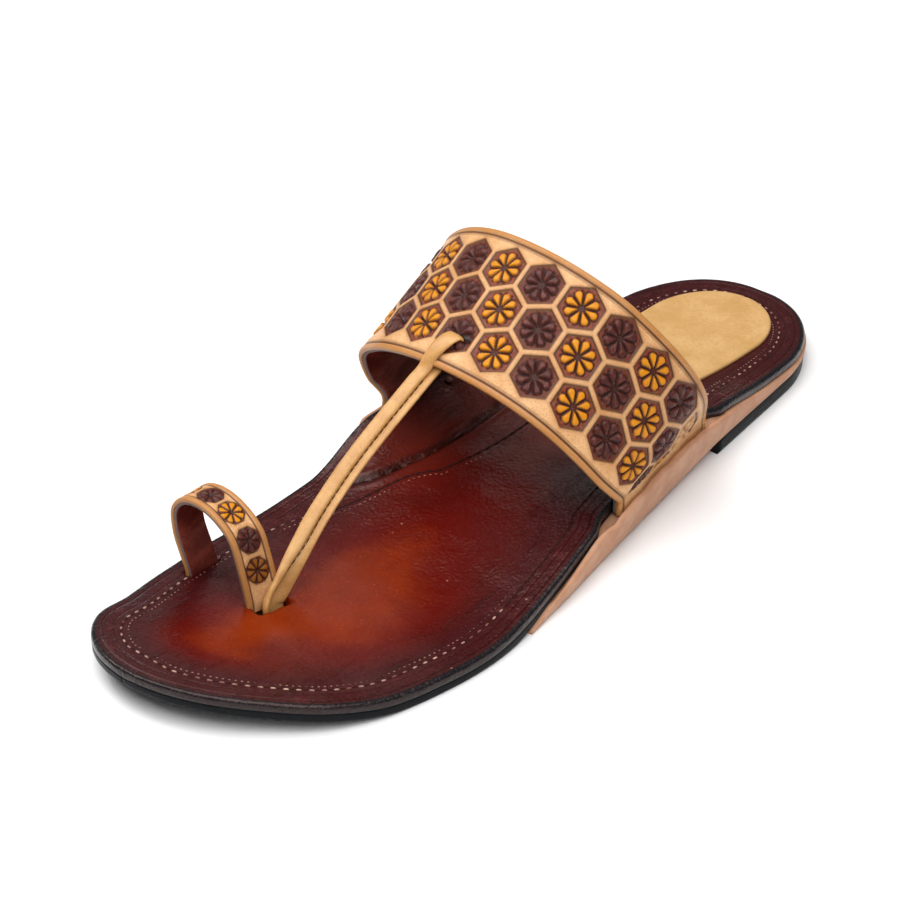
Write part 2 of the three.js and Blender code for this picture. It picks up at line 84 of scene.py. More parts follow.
# %% [markdown]
# Two helpers carry all the shapes. One draws a smooth curve through the rows of a short table, the
# other turns a stack of closed rings into a mesh. A sole layer, a strap and a stitch are all such
# stacks: the rings differ, the way they are joined doesn't.

# %% Curves and steps
def smooth(table, at):
    """Cubic through the table's rows (position, value, ...), level past its ends: at each row the
    slope is that of the line through its two neighbours."""
    rows = np.asarray(table, float)
    x, v = rows[:, 0], rows[:, 1:]
    slope = np.empty_like(v)
    slope[1:-1] = (v[2:] - v[:-2]) / (x[2:] - x[:-2])[:, None]
    slope[0], slope[-1] = (v[1] - v[0]) / (x[1] - x[0]), (v[-1] - v[-2]) / (x[-1] - x[-2])
    at = np.clip(np.asarray(at, float), x[0], x[-1])
    i = np.clip(np.searchsorted(x, at, side="right") - 1, 0, len(x) - 2)
    span = (x[i + 1] - x[i])[..., None]
    t = (at - x[i])[..., None] / span
    a, b, gain = slope[i] * span, slope[i + 1] * span, v[i + 1] - v[i]
    out = v[i] + a * t + (3 * gain - 2 * a - b) * t**2 + (a + b - 2 * gain) * t**3
    return out[..., 0] if v.shape[1] == 1 else out


def step(low, high, value):
    """0 below low, 1 above high, and 3t^2 - 2t^3 between them."""
    t = np.clip((value - low) / (high - low), 0, 1)
    return t * t * (3 - 2 * t)


def bump(value, width):
    """A bell: 1 at 0, falling as exp(-(value / width)^2)."""
    return np.exp(-((value / width) ** 2))


# %% Rings to mesh
def mesh_of(name, points, faces, fields=None):
    """A smooth-shaded mesh from points in mm. The sum of the corners' triple products is six times
    the volume. Where it is negative the faces are turned over, so that they point outwards."""
    a, b, c = points[faces[:, 0]], points[faces[:, 1]], points[faces[:, 2]]
    six_volumes = np.einsum("ij,ij->i", a, np.cross(b, c)).sum()
    if faces.shape[1] == 4:
        six_volumes += np.einsum("ij,ij->i", a, np.cross(c, points[faces[:, 3]])).sum()
    if six_volumes < 0:
        faces = faces[:, ::-1]
    mesh = bpy.data.meshes.new(name)
    mesh.from_pydata((points * MM).tolist(), [], faces.tolist())
    mesh.polygons.foreach_set("use_smooth", np.ones(len(faces), bool))
    for field, values in (fields or {}).items():
        layer = mesh.attributes.new(field, "FLOAT", "POINT")
        layer.data.foreach_set("value", np.ascontiguousarray(values, dtype=np.float32).ravel())
    mesh.update()
    piece = bpy.data.objects.new(name, mesh)
    bpy.context.collection.objects.link(piece)
    triangles = len(faces) * (faces.shape[1] - 2)
    print(f"{name}: {triangles} triangles, {abs(six_volumes) / 6 / 1000:.2f} cm3")
    return piece


def ring_faces(rings, around):
    """Quads between neighbouring rings of a stack, each ring closed on itself."""
    i, j = np.meshgrid(np.arange(rings - 1), np.arange(around), indexing="ij")
    k = (j + 1) % around
    corners = [i * around + j, i * around + k, (i + 1) * around + k, (i + 1) * around + j]
    return np.stack(corners, -1).reshape(-1, 4)


def loft(name, rings, fields=None):
    """Closed body through a stack of rings, shaped (rings, points, 3). Each end is closed by quads
    that fold the ring about its own middle: point j is joined to point n - 1 - j."""
    count, around = rings.shape[:2]
    j = np.arange(around // 2 - 1)
    lid = np.stack([j, around - 1 - j, around - 2 - j, j + 1], -1)
    last = (count - 1) * around + lid[:, ::-1]
    faces = np.concatenate([ring_faces(count, around), lid, last])
    return mesh_of(name, rings.reshape(-1, 3), faces, fields)


def settle(piece, solid=None):
    """Hangs a piece on the frame's root body and hides the solid it stands for, if any."""
    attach(piece, "root")
    if solid:
        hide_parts(solid)


# %% [markdown]
# The sole is a stack of leather layers cut to one outline. Its plan is a centre line and a half
# width along the length, rounded off elliptically at toe and heel. The rim's height adds the toe
# spring and the arch, and the footbed sinks a little between its rims. The same few tables shape
# every layer, so the layers can't drift apart.

# %% Outline and heights of the sole
LENGTH, BALL_WIDTH, TOE_ROUND, HEEL_ROUND = 274.0, 93.0, 45.0, 34.0
TOE_SPRING, ARCH_RISE = 7.4, 11.0
INSOLE_T, OUTSOLE_T, LIFT_T, JOINT = 2.7, 2.4, 4.6, 0.3
EAR_OUT, EAR_MEDIAL, EAR_LATERAL, LATERAL_NOTCH = 5.0, 4.7, 1.25, 2.0
EAR_BEND, SEAT_EASE, FIRST_STATION = (0.45, 1.15), (0.018, 0.042), 0.0006
BAND_FEET = {-1: (134 / LENGTH, 179 / LENGTH), 1: (138 / LENGTH, 187 / LENGTH)}
OUTLINE = [
    (0.0, -0.112, 0.438), (0.05, -0.066, 0.438), (0.1, -0.005, 0.44), (0.2, 0.028, 0.488),
    (0.28, 0.044, 0.5), (0.38, 0.045, 0.471), (0.5, 0.046, 0.416), (0.6, 0.044, 0.377),
    (0.72, 0.016, 0.358), (0.84, -0.019, 0.351), (0.93, -0.036, 0.338), (1.0, -0.05, 0.345),
]
RIM = [
    (0.0, 1.0, 0.0), (0.077, 0.55, 0.0), (0.15, 0.1, 0.0), (0.195, 0.0, 0.0), (0.3, 0.0, 0.01),
    (0.4, 0.0, 0.4), (0.5, 0.0, 0.8), (0.6, 0.0, 0.98), (0.72, 0.0, 0.98), (0.82, 0.0, 0.62),
    (0.91, 0.0, 0.45), (1.0, 0.0, 0.4),
]
DISH = [(0.0, 0.2), (0.3, 0.4), (0.5, 2.2), (0.65, 2.0), (0.8, 0.8), (1.0, 0.4)]


def waist(at):
    """1 along the waist, where the sides turn up, and 0 at both ends of the sole."""
    return step(0.36, 0.47, at) * (1 - step(0.66, 0.74, at))


def seat(at, side):
    """1 beside a foot of the band, eased to 0 before and behind it."""
    front, rear = BAND_FEET[side]
    near, far = SEAT_EASE
    return step(front - far, front - near, at) * (1 - step(rear + near, rear + far, at))


def plan(at):
    """Centre and half width of the sole: half = table * sqrt(1 - toe^2) * sqrt(1 - heel^2), where
    toe and heel run from 1 at the tip to 0 where the rounding ends."""
    centre, half = np.moveaxis(smooth(OUTLINE, at), -1, 0) * BALL_WIDTH
    toe = np.clip(1 - at * LENGTH / TOE_ROUND, 0, 1)
    heel = np.clip(1 - (1 - at) * LENGTH / HEEL_ROUND, 0, 1)
    return centre, half * np.sqrt(1 - toe**2) * np.sqrt(1 - heel**2)


def edges(at):
    """x of the insole's medial and lateral edge: centre -+ half, with the ear and the notch."""
    centre, half = plan(at)
    return (centre - half - EAR_OUT * waist(at) + SHIFT_X,
            centre + half - LATERAL_NOTCH * seat(at, 1) + SHIFT_X)


SHIFT_X = 0.0  # the tables' own place, until the frame's box gives the real one
probe = np.linspace(0.001, 0.999, 4000)
SHIFT_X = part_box("insole")[1][0] / MM - edges(probe)[1].max()
TOE_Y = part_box("insole")[0][1] / MM - FIRST_STATION * LENGTH
print("sole starts at y", round(TOE_Y, 2), "and is shifted by", round(SHIFT_X, 2), "mm")


def floor_line(at):
    """Underside of the sole at the front: toe spring times its table."""
    return TOE_SPRING * np.maximum(0, smooth(RIM, at)[..., 0])


def rim_height(at):
    """Floor line, outsole, glue and insole, and the arch times its table."""
    return floor_line(at) + OUTSOLE_T + JOINT + INSOLE_T + ARCH_RISE * smooth(RIM, at)[..., 1]


def footbed(x, y):
    """Height of the footbed: rim - dish * (1 - q^2) + ear, where q runs from -1 to 1 across."""
    at = np.clip((y - TOE_Y) / LENGTH, 0, 1)
    medial, lateral = edges(np.clip(at, 0.001, 0.999))
    q = np.clip(2 * (x - medial) / (lateral - medial) - 1, -1, 1)
    turn = step(*EAR_BEND, np.abs(q)) / step(*EAR_BEND, 1.0)
    ear = np.where(q < 0, EAR_MEDIAL, EAR_LATERAL) * waist(at) * turn
    return rim_height(at) - smooth(DISH, at) * (1 - q * q) + ear


# %% The rim as a line that can be moved inwards
TIP, UNDER_COLUMNS = 1e-7, 8


def stations(rows):
    """Shares of the length, drawn together at both ends: (1 - cos(pi t)) / 2."""
    drawn = (1 - np.cos(np.pi * np.linspace(0, 1, rows))) / 2
    return np.clip(drawn, TIP, 1 - TIP)


def moved_in(x, y, side, inset):
    """A medial (-1) or lateral (1) edge line moved inwards along the normal of the plan."""
    dx, dy = np.gradient(x), np.gradient(y)
    size = np.hypot(dx, dy)
    return np.stack([x - side * inset * dy / size, y + side * inset * dx / size], -1)


def rim_line(at, side, inset):
    """The sole's edge on one side, moved inwards."""
    return moved_in(edges(at)[0 if side < 0 else 1], TOE_Y + at * LENGTH, side, inset)


def slab(line, profile, top, under, columns):
    """Rings of a layer. Each ring runs over the top, down the lateral profile, back below and up
    the medial profile. A profile row is (inset, share of the thickness below the top), and
    line(side, inset) gives the plan's edge."""
    def edge(side, rows):
        points = []
        for inset, share in rows:
            place = line(side, inset)
            high, low = top(place[:, 0], place[:, 1]), under(place[:, 0], place[:, 1])
            points.append(np.column_stack([place, high + (low - high) * share]))
        return points

    def between(first, second, count, height):
        out = []
        for share in np.linspace(0, 1, count)[1:-1]:
            place = first[:, :2] + (second[:, :2] - first[:, :2]) * share
            out.append(np.column_stack([place, height(place[:, 0], place[:, 1])]))
        return out

    medial, lateral = edge(-1, profile), edge(1, profile)
    ring = [medial[0], *between(medial[0], lateral[0], columns, top), *lateral,
            *between(lateral[-1], medial[-1], UNDER_COLUMNS, under), *medial[:0:-1]]
    return np.stack(ring, 1)


# %% [markdown]
# The footbed is the top leather. A maker moulds it, scores lines round its border, stitches it and
# burnishes it. It is drawn as one closed slab. The crease at the medial waist and the slots for the
# straps are moved into the surface one by one, as soft troughs along short lines.

# %% Footbed relief
TOE_SLOT = dict(x=-10.9, y=-84.9, half_width=3.2, half_length=5.2, turn=0.2)
LOOP_SLOT = dict(x=-37.3, y=-84.6, half_width=1.4, half_length=5.6, turn=0.0)
SLOT_DEPTH, CREASE_WIDTH, RIDGE_HEIGHT, RIDGE_ASIDE = 2.3, 1.0, 0.45, 2.2
CREASE = np.array([
    (-36.0, -38.0), (-30.75, -31.3), (-27.25, -26.9), (-25.15, -20.9), (-23.55, -15.4),
    (-21.55, -8.9), (-20.75, -3.9), (-19.55, 7.0), (-19.65, 21.0), (-22.0, 34.0),
])


def slot_depth(x, y, slot):
    """1 inside a turned rectangle with a soft rim, 0 outside."""
    c, s = math.cos(slot["turn"]), math.sin(slot["turn"])
    u = np.abs((x - slot["x"]) * c - (y - slot["y"]) * s) - slot["half_width"]
    v = np.abs((x - slot["x"]) * s + (y - slot["y"]) * c) - slot["half_length"]
    return 1 - step(-0.5, 0.3, np.maximum(u, v))


def slots(x, y):
    return np.maximum(slot_depth(x, y, TOE_SLOT), slot_depth(x, y, LOOP_SLOT))


def path_distance(x, y, path):
    """Distance to a bent line, and the share of the line at its nearest point."""
    best, where = np.full(x.shape, 1e9), np.zeros(x.shape)
    for k, (a, b) in enumerate(zip(path[:-1], path[1:])):
        way = b - a
        t = np.clip(((x - a[0]) * way[0] + (y - a[1]) * way[1]) / (way @ way), 0, 1)
        gap = np.hypot(x - a[0] - t * way[0], y - a[1] - t * way[1])
        where = np.where(gap < best, (k + t) / (len(path) - 1), where)
        best = np.minimum(best, gap)
    return best, where


def footbed_top(x, y):
    """Footbed - bell(distance to the crease) + ridge beside it - slots. The crease is one
    millimetre deep, ragged along its way and faded at its ends."""
    gap, where = path_distance(x, y, CREASE)
    fade = step(0.0, 0.2, where) * (1 - step(0.75, 1.0, where))
    ragged = 0.75 + 0.25 * np.sin(23 * where + 1.5 * np.sin(41 * where))
    ridge = RIDGE_HEIGHT * bump(gap - RIDGE_ASIDE, CREASE_WIDTH)
    crease = (-bump(gap, CREASE_WIDTH) * ragged + ridge) * fade
    return footbed(x, y) + crease - SLOT_DEPTH * slots(x, y)


def footbed_under(x, y):
    return footbed(x, y) - INSOLE_T


def rim_distance(x, y):
    """Distance from the sole's edge, taken to the nearest of many points on the outline."""
    at = stations(900)
    line = np.concatenate([rim_line(at, -1, 0.0), rim_line(at, 1, 0.0)[::-1]])
    flat = np.column_stack([x.ravel(), y.ravel()])
    parts = np.array_split(flat, 90)
    nearest = [np.sqrt(((p[:, None] - line[None]) ** 2).sum(-1).min(1)) for p in parts]
    return np.concatenate(nearest).reshape(x.shape)


# %% Footbed mesh
ROWS, COLUMNS, EAR_PAINT = 470, 130, (4.0, 24.0)
sole_at = stations(ROWS)
EDGE_PROFILE = [(1.3, 0.0), (0.75, 0.03), (0.35, 0.12), (0.1, 0.27), (0.0, 0.45), (0.0, 0.74),
                (0.02, 0.92), (0.12, 1.0)]
rings = slab(lambda side, inset: rim_line(sole_at, side, inset), EDGE_PROFILE,
             footbed_top, footbed_under, COLUMNS)
plan_x, plan_y = rings[..., 0], rings[..., 1]
on_edge = (np.arange(rings.shape[1]) > COLUMNS + 1) * np.ones(rings.shape[:2])
gap, where = path_distance(plan_x, plan_y, CREASE)
creased = bump(gap - 0.2, 1.5) * step(0.0, 0.15, where) * (1 - step(0.85, 1.0, where))
medial_ear = waist((plan_y - TOE_Y) / LENGTH) * step(*EAR_PAINT, -plan_x)
insole = loft("footbed", rings, {
    "inset": rim_distance(plan_x, plan_y), "edge": on_edge, "slot": slots(plan_x, plan_y),
    "ear": medial_ear, "crease": creased * (1 - on_edge)})
settle(insole, "insole")


# %% [markdown]
# Below the footbed lie the outsole, the stacked wedge with its tan wrap, and the heel lift. They
# show only as bands of edge, so their tops and undersides stay coarse while the edges are rounded.

# %% Outsole
OUTSOLE_END, OUTSOLE_TAIL, OUTSOLE_TIP, SEAM_GAP = 0.55, 1.1, 0.35, 0.04
OUTSOLE_COLUMNS = 24


def outsole_top(x, y):
    return footbed_under(x, y) - SEAM_GAP


def outsole_under(x, y):
    """Follows the floor line at the front and leaves it towards the arch, thinning to its end."""
    at = (y - TOE_Y) / LENGTH
    tail = OUTSOLE_TAIL + (OUTSOLE_TIP - OUTSOLE_TAIL) * step(0.45, OUTSOLE_END, at)
    floor = floor_line(at)
    return floor + (footbed_under(x, y) - JOINT - tail - floor) * step(0.3, 0.38, at)


front_half = np.concatenate([stations(300)[:150], np.linspace(0.5, OUTSOLE_END, 12)[1:]])
OUTSOLE_PROFILE = [(0.12, 0.0), (0.02, 0.05), (0.0, 0.2), (0.0, 0.5), (0.05, 0.78), (0.3, 0.94),
                   (0.9, 1.0)]
outsole = loft("outsole_edge", slab(lambda side, inset: rim_line(front_half, side, inset),
                                    OUTSOLE_PROFILE, outsole_top, outsole_under, OUTSOLE_COLUMNS))
settle(outsole, "outsole")

# %% Wedge with its wrap
WEDGE_START, LIFT_START = 0.338, 0.72
BAND_T, SIDE_STEP, LIP_H, MEDIAL_LIP = 2.6, 1.3, 1.8, 0.15
WRAP_T, WRAP_FALL, LEAN, BELLY = 0.15, 0.15, 1.35, 0.35
WALL_SHARES = (0.03, 0.1, 0.25, 0.45, 0.65, 0.82, 0.94, 1.0)


def wedge_rings(rows):
    """The top follows the footbed's underside. Outside it the wrap stands up as a lip, and its
    side leans in from the lip to the wedge's foot."""
    at = np.concatenate([np.linspace(WEDGE_START, 0.9, rows),
                         1 - 0.1 * np.linspace(1, 0.0, 60)[1:] ** 2])
    at = np.clip(at, 0, 1 - TIP)
    y = TOE_Y + at * LENGTH
    lip = SIDE_STEP * step(WEDGE_START, 0.43, at) * (1 - step(LIFT_START, 0.78, at)) + WRAP_T
    past = step(OUTSOLE_END + 0.002, OUTSOLE_END + 0.012, at)
    climb = np.clip((at - WEDGE_START) / (LIFT_START - WEDGE_START), 0, 1)
    centre, half = plan(at)

    def ceiling(x, yy):
        low = outsole_under(x, yy)
        return low + (footbed_under(x, yy) - low) * past - 0.12

    def foot(side):
        x = centre + SHIFT_X + side * (half - 0.1)
        return np.column_stack([x, y])

    def wall(side):
        room = JOINT + (BAND_T + 2 * JOINT) * seat(at, side)
        outer, inner = rim_line(at, side, -(room + lip)), rim_line(at, side, -room)
        soft = rim_line(at, side, -(room + 0.35 * lip))
        floor = ceiling(*rim_line(at, side, 0.3).T)
        wave = 0.28 * np.sin(y * 0.61 + side) * np.sin(y * 0.23 + 2 * side) * seat(at, side)
        crest = floor + (LIP_H * waist(at) + wave) * (1.0 if side > 0 else MEDIAL_LIP) + 0.02
        base = np.minimum((LIFT_T + 0.1) * climb**1.3, floor - 0.3)
        low = foot(side)
        line = [np.column_stack([inner, floor]), np.column_stack([inner, crest - 0.1]),
                np.column_stack([soft, crest])]
        for share in WALL_SHARES:
            belly = BELLY * math.sin(math.pi * share) * side
            place = outer + (low - outer) * share**LEAN
            high = crest - WRAP_FALL * (1 - share) + (base - crest) * share
            line.append(np.column_stack([place[:, 0] + belly, place[:, 1], high]))
        return line, base

    medial, base = wall(-1)
    lateral, _ = wall(1)
    inner_m, inner_l = rim_line(at, -1, 1.0), rim_line(at, 1, 1.0)
    shares = np.linspace(0, 1, 14)
    middle = [inner_m + (inner_l - inner_m) * s for s in shares]
    top = [np.column_stack([p, ceiling(p[:, 0], p[:, 1])]) for p in middle]
    under = [np.column_stack([foot(1) + (foot(-1) - foot(1)) * s, base]) for s in shares[1:-1]]
    return np.stack([*top, *lateral, *under, *medial[::-1]], 1)


wedge = loft("wedge_wrap", wedge_rings(220))
settle(wedge, "midsole_wedge")

# %% Heel lift
def lift_rings(rows):
    """Straight across at its front, following the plan to the heel, with eased edges."""
    at = 1 - (1 - LIFT_START) * np.linspace(1, 0, rows) ** 2.2
    at = np.clip(at, 0, 1 - TIP)
    centre, half = plan(at)
    y = TOE_Y + at * LENGTH

    def point(q, inset, z):
        reach = np.maximum(half - inset, 0.02)
        back_in = inset * step(0.9, 1.0, at)
        return np.column_stack([centre + SHIFT_X + q * reach, y - back_in, np.full(len(at), z)])

    top = [point(q, 0.3, LIFT_T) for q in np.linspace(-1, 1, 8)]
    eased = [(0.08, LIFT_T - 0.3), (0.0, LIFT_T * 0.6), (0.0, LIFT_T * 0.3), (0.1, 0.35), (0.5, 0.0)]
    lateral = [point(1, inset, z) for inset, z in eased]
    under = [point(q, 0.5, 0.0) for q in np.linspace(1, -1, 8)[1:-1]]
    medial = [point(-1, inset, z) for inset, z in eased[::-1]]
    return np.stack([*top, *lateral, *under, *medial], 1)


lift = loft("heel_lift_edge", lift_rings(70))
settle(lift, "heel_lift")


# %% [markdown]
# The heel pad is a thin sock glued over the heel seat, a tongue with round ends. It is one more
# slab, on a plan of its own, and it follows the footbed below it.

# %% Heel pad
PAD_START, PAD_END, PAD_HALF, PAD_ROUND, PAD_RISE = 0.62, 0.968, 20.0, 25.0, 1.4
PAD_MIDDLE, PAD_DRIFT, PAD_SUNK, PAD_BED, PAD_COLUMNS = 1.0, 5.5, 0.25, 0.1, 50
PAD_PROFILE = [(1.0, 0.0), (0.5, 0.05), (0.15, 0.2), (0.0, 0.5), (0.0, 1.0)]


def pad_line(side, inset):
    """middle + side * half * sqrt(1 - rear^2) * sqrt(1 - front^2), drawn from front to rear."""
    along = np.clip((1 - np.cos(np.pi * np.linspace(0, 1, 120))) / 2, 1e-4, 1 - 1e-4)
    length = (PAD_END - PAD_START) * LENGTH
    rear = np.clip(1 - (1 - along) * length / PAD_ROUND, 0, 1)
    front = np.clip(1 - along * length / PAD_ROUND, 0, 1)
    half = PAD_HALF * np.sqrt(1 - rear**2) * np.sqrt(1 - front**2)
    x = PAD_MIDDLE - PAD_DRIFT * along + side * half + SHIFT_X
    return moved_in(x, TOE_Y + LENGTH * PAD_START + along * length, side, inset)


pad = loft("heel_sock", slab(pad_line, PAD_PROFILE, lambda x, y: footbed(x, y) + PAD_RISE - PAD_SUNK,
                             lambda x, y: footbed(x, y) - PAD_BED, PAD_COLUMNS))
settle(pad, "heel_pad")

# %% [markdown]
# The band is a straight strip of thick leather bent over the foot. Leather bends one way at a time,
# so the strip is ruled: straight lines join its front edge to its rear edge. Two curves through
# short tables hold those edges, and the tooling is a height added along the surface's normal.

# %% Curves of the straps
def spline(points, count):
    """Centripetal Catmull-Rom curve through the points, sampled evenly between each pair. Knots are
    spaced by the square root of the distance, and the ends are extended straight."""
    p = np.vstack([2 * points[0] - points[1], points, 2 * points[-1] - points[-2]])
    gap = np.sqrt(np.linalg.norm(np.diff(p, axis=0), axis=1))[:, None]
    before, here, after = gap[:-2], gap[1:-1], gap[2:]
    a, b, c, d = p[:-3], p[1:-2], p[2:-1], p[3:]
    start = ((b - a) / before - (c - a) / (before + here) + (c - b) / here) * here
    end = ((c - b) / here - (d - b) / (here + after) + (d - c) / after) * here
    t = (np.arange(count) / count)[None, :, None]
    b, c, start, end = b[:, None], c[:, None], start[:, None], end[:, None]
    way = b + start * t + (3 * (c - b) - 2 * start - end) * t**2 + (start + end - 2 * (c - b)) * t**3
    return np.vstack([way.reshape(-1, 3), points[-1:]])


def arc(line):
    """Distance run along a line of points."""
    return np.concatenate([[0.0], np.cumsum(np.linalg.norm(np.diff(line, axis=0), axis=1))])


def resample(line, measure, at):
    """Points of a line where its measure reaches the given values."""
    return np.column_stack([np.interp(at, measure, line[:, k]) for k in range(3)])


def unit(v):
    """The same direction with length 1."""
    return v / np.linalg.norm(v, axis=-1, keepdims=True)


# %% The band's two edges
BAND_HALF, BAND_MIDDLE, BAND_LINING_T, BAND_LEATHER_T = 45.0, -1.5, 1.1, 1.5
FOOT_SUNK, FOOT_OVER = 0.5, 1.0
FRONT_EDGE = dict(medial=134.0, lateral=138.0, crown=117.5, height=51.4)
REAR_EDGE = dict(medial=179.0, lateral=187.0, crown=154.0, height=76.7)
FRONT_ARCH = [
    (-1.0, 0.15, 0.1), (-0.97, 0.51, 0.4), (-0.73, 0.78, 0.69), (-0.39, 0.95, 0.91),
    (-0.01, 1.0, 1.0), (0.34, 0.94, 0.965), (0.627, 0.77, 0.82), (0.833, 0.52, 0.6),
    (0.975, 0.23, 0.33), (1.02, 0.06, 0.1),
]
REAR_ARCH = [
    (-1.0, 0.32, 0.23), (-0.965, 0.62, 0.49), (-0.72, 0.83, 0.73), (-0.365, 0.96, 0.9),
    (0.02, 1.0, 1.0), (0.38, 0.965, 1.0), (0.67, 0.866, 0.92), (0.87, 0.71, 0.776),
    (1.01, 0.51, 0.576), (1.035, 0.3, 0.355),
]


def band_foot(distance, side, sunk):
    """The strip's outer face beside the insole: on the wedge, or one millimetre over the rim."""
    at = np.array([distance / LENGTH])
    x = edges(at)[0 if side < 0 else 1][0]
    y = TOE_Y + distance
    z = footbed(np.array([x]), np.array([y]))[0]
    z = z - INSOLE_T - FOOT_SUNK if sunk else z + FOOT_OVER
    return np.array([x + side * (JOINT + BAND_T), y, z])


def band_edge(edge, arch):
    """Curve through the feet and the arch's rows of (place across, share of the height, share of
    the way from the foot to the crown)."""
    medial, lateral = band_foot(edge["medial"], -1, False), band_foot(edge["lateral"], 1, False)
    rows = []
    for across, share, lean in arch:
        foot = medial if across < 0 else lateral
        rows.append([BAND_MIDDLE + SHIFT_X + across * BAND_HALF,
                     foot[1] + (TOE_Y + edge["crown"] - foot[1]) * lean,
                     foot[2] + (edge["height"] - foot[2]) * share])
    points = [band_foot(edge["medial"], -1, True), medial, *rows,
              lateral, band_foot(edge["lateral"], 1, True)]
    return spline(np.array(points), 40)


front_edge, rear_edge = band_edge(FRONT_EDGE, FRONT_ARCH), band_edge(REAR_EDGE, REAR_ARCH)
band_run = arc((front_edge + rear_edge) / 2)
BAND_ROWS, BAND_COLUMNS = 520, 124
band_u = np.linspace(0, band_run[-1], BAND_ROWS)
front_line, rear_line = resample(front_edge, band_run, band_u), resample(rear_edge, band_run, band_u)
band_width = np.linalg.norm(rear_line - front_line, axis=1)
mid_line = (front_line + rear_line) / 2
print("band", round(band_run[-1], 1), "mm along its middle, width", np.round(band_width[::104], 1))

# %% [markdown]
# The tooling repeats one rosette in a honeycomb. A hexagonal panel is pressed in, and eight drops
# stand up in it. The nearest panel's centre is found by rounding, and each drop is the distance to
# a tapered capsule. The same numbers give the height and the masks for the paint.

# %% Rosettes
PITCH, ROW_GAP, FIRST_ROW, WALL = 13.75, 11.95, 10.8, 2.05
ANCHOR_X, ANCHOR_COLUMN, DROP_REACH = -1.1, 2.47, 5.15
SLIT_COLUMN, SLIT_ACROSS, SLIT_LENGTH, SLIT_WIDTH = 2.16, 10.6, 3.3, 1.0
BARE_END = 5.0


def capsule(along, aside, start, end, start_radius, end_radius):
    """Distance to a capsule that widens from one radius to the other."""
    t = np.clip((along - start) / (end - start), 0, 1)
    from_middle = np.hypot(along - start - t * (end - start), aside)
    return from_middle - start_radius - t * (end_radius - start_radius)


def rosette(a, b, reach):
    """Distance to the nearest of eight drops, capsules 45 degrees apart, and the distance to the
    flower's centre, for a point at (a, b) from it."""
    radius, angle = np.hypot(a, b), np.arctan2(b, a)
    turn = angle - np.round(angle / (np.pi / 4)) * (np.pi / 4)
    along, aside = radius * np.cos(turn), radius * np.sin(turn)
    gap = capsule(along, aside, 0.24 * reach, 0.77 * reach, 0.03 * reach, 0.225 * reach)
    return gap, radius


def honeycomb(u, v):
    """Offsets (a, b) from the nearest panel's centre, its row and its column."""
    best, out = np.full(u.shape, 1e9), [np.zeros(u.shape) for _ in range(4)]
    for row in range(3):
        shift = 0.5 if row == 1 else 0.0
        column = np.round(u / PITCH - shift) + shift
        a, b = u - column * PITCH, v - FIRST_ROW - row * ROW_GAP
        gap = np.hypot(a, b)
        near = gap < best
        best = np.where(near, gap, best)
        out = [np.where(near, new, old) for new, old in zip((a, b, row, column), out)]
    return out


over_the_top = slice(BAND_ROWS // 3, -BAND_ROWS // 3)
crown_u = np.interp(ANCHOR_X, mid_line[over_the_top, 0], band_u[over_the_top])
u, v = np.meshgrid(band_u - crown_u + ANCHOR_COLUMN * PITCH, np.linspace(0, 1, BAND_COLUMNS),
                   indexing="ij")
v = v * band_width[:, None]
a, b, row, column = honeycomb(u, v)
hexagon = np.maximum(np.abs(a), 0.5 * np.abs(a) + 0.866 * np.abs(b)) - (PITCH - WALL) / 2
from_end = np.minimum(band_u, band_run[-1] - band_u)[:, None]
tooled_part = from_end > BARE_END
panel = (1 - step(-0.28, 0.08, hexagon)) * tooled_part
drop_gap, radius = rosette(a, b, DROP_REACH)
drop = (1 - step(-0.22, 0.12, drop_gap)) * panel
core = (1 - step(0.3, 0.6, radius)) * panel
outline = bump(hexagon - 0.04, 0.32) * tooled_part
carved = bump(drop_gap - 0.28, 0.3) * panel * (radius < 5.3)
burnt = bump(hexagon - 0.6, 0.7) * tooled_part
yellow = np.where(row == 1, (column + 0.5) % 2 == 1, (column + (row == 2)) % 2 == 1)
bare = ((row == 2) & (column == 8)) * 1.0
aged = ((row == 0) & (column == 2)) * 1.0
side_v = np.minimum(v, band_width[:, None] - v)
groove = bump(side_v - 1.5, 0.3) + 0.5 * bump(side_v - 2.5, 0.2)
border = step(1.2, 1.45, side_v) * (1 - 0.55 * step(1.75, 1.95, side_v))
border = border * (1 - step(2.45, 2.7, side_v))
slit = bump(np.hypot((u - SLIT_COLUMN * PITCH) / SLIT_LENGTH, (v - SLIT_ACROSS) / SLIT_WIDTH), 1.0)
height = (-0.5 * panel - 0.22 * outline - 0.4 * carved
          + drop * (0.46 + 0.14 * bump(radius - 3.6, 1.4)) - 0.35 * core
          - 0.28 * groove + 0.18 * bump(side_v - 0.75, 0.6))
print("panels on the band:", len(np.unique((row * 100 + column)[panel > 0.9])))

# %% Ruled strap body
def strap_rings(first, second, normal, heights, edge_profile, under_count):
    """Rings across a strap: over the tooled face, round one edge, back below and round the other.
    edge_profile rows are (inset, depth), heights are added along the normal."""
    way = unit(second - first)
    share = np.linspace(0, 1, heights.shape[1])[None, :, None]
    inset = edge_profile[0][0]
    start, end = first + way * inset, second - way * inset
    face = start[:, None] + (end - start)[:, None] * share + normal[:, None] * heights[..., None]
    far = [second - way * i - normal * d for i, d in edge_profile[1:]]
    near = [first + way * i - normal * d for i, d in edge_profile[1:]]
    low_start, low_end = near[-1], far[-1]
    below = [low_end + (low_start - low_end) * s for s in np.linspace(0, 1, under_count + 2)[1:-1]]
    return np.concatenate([face, np.stack([*far, *below, *near[::-1]], 1)], 1)


def strip_normal(first, second):
    """Outward normal of a ruled strip: (second - first) x (direction of travel), turned to point up
    at the strip's middle."""
    travel = np.gradient((first + second) / 2, axis=0)
    normal = unit(np.cross(travel, second - first))
    return normal if normal[len(normal) // 2, 2] > 0 else -normal


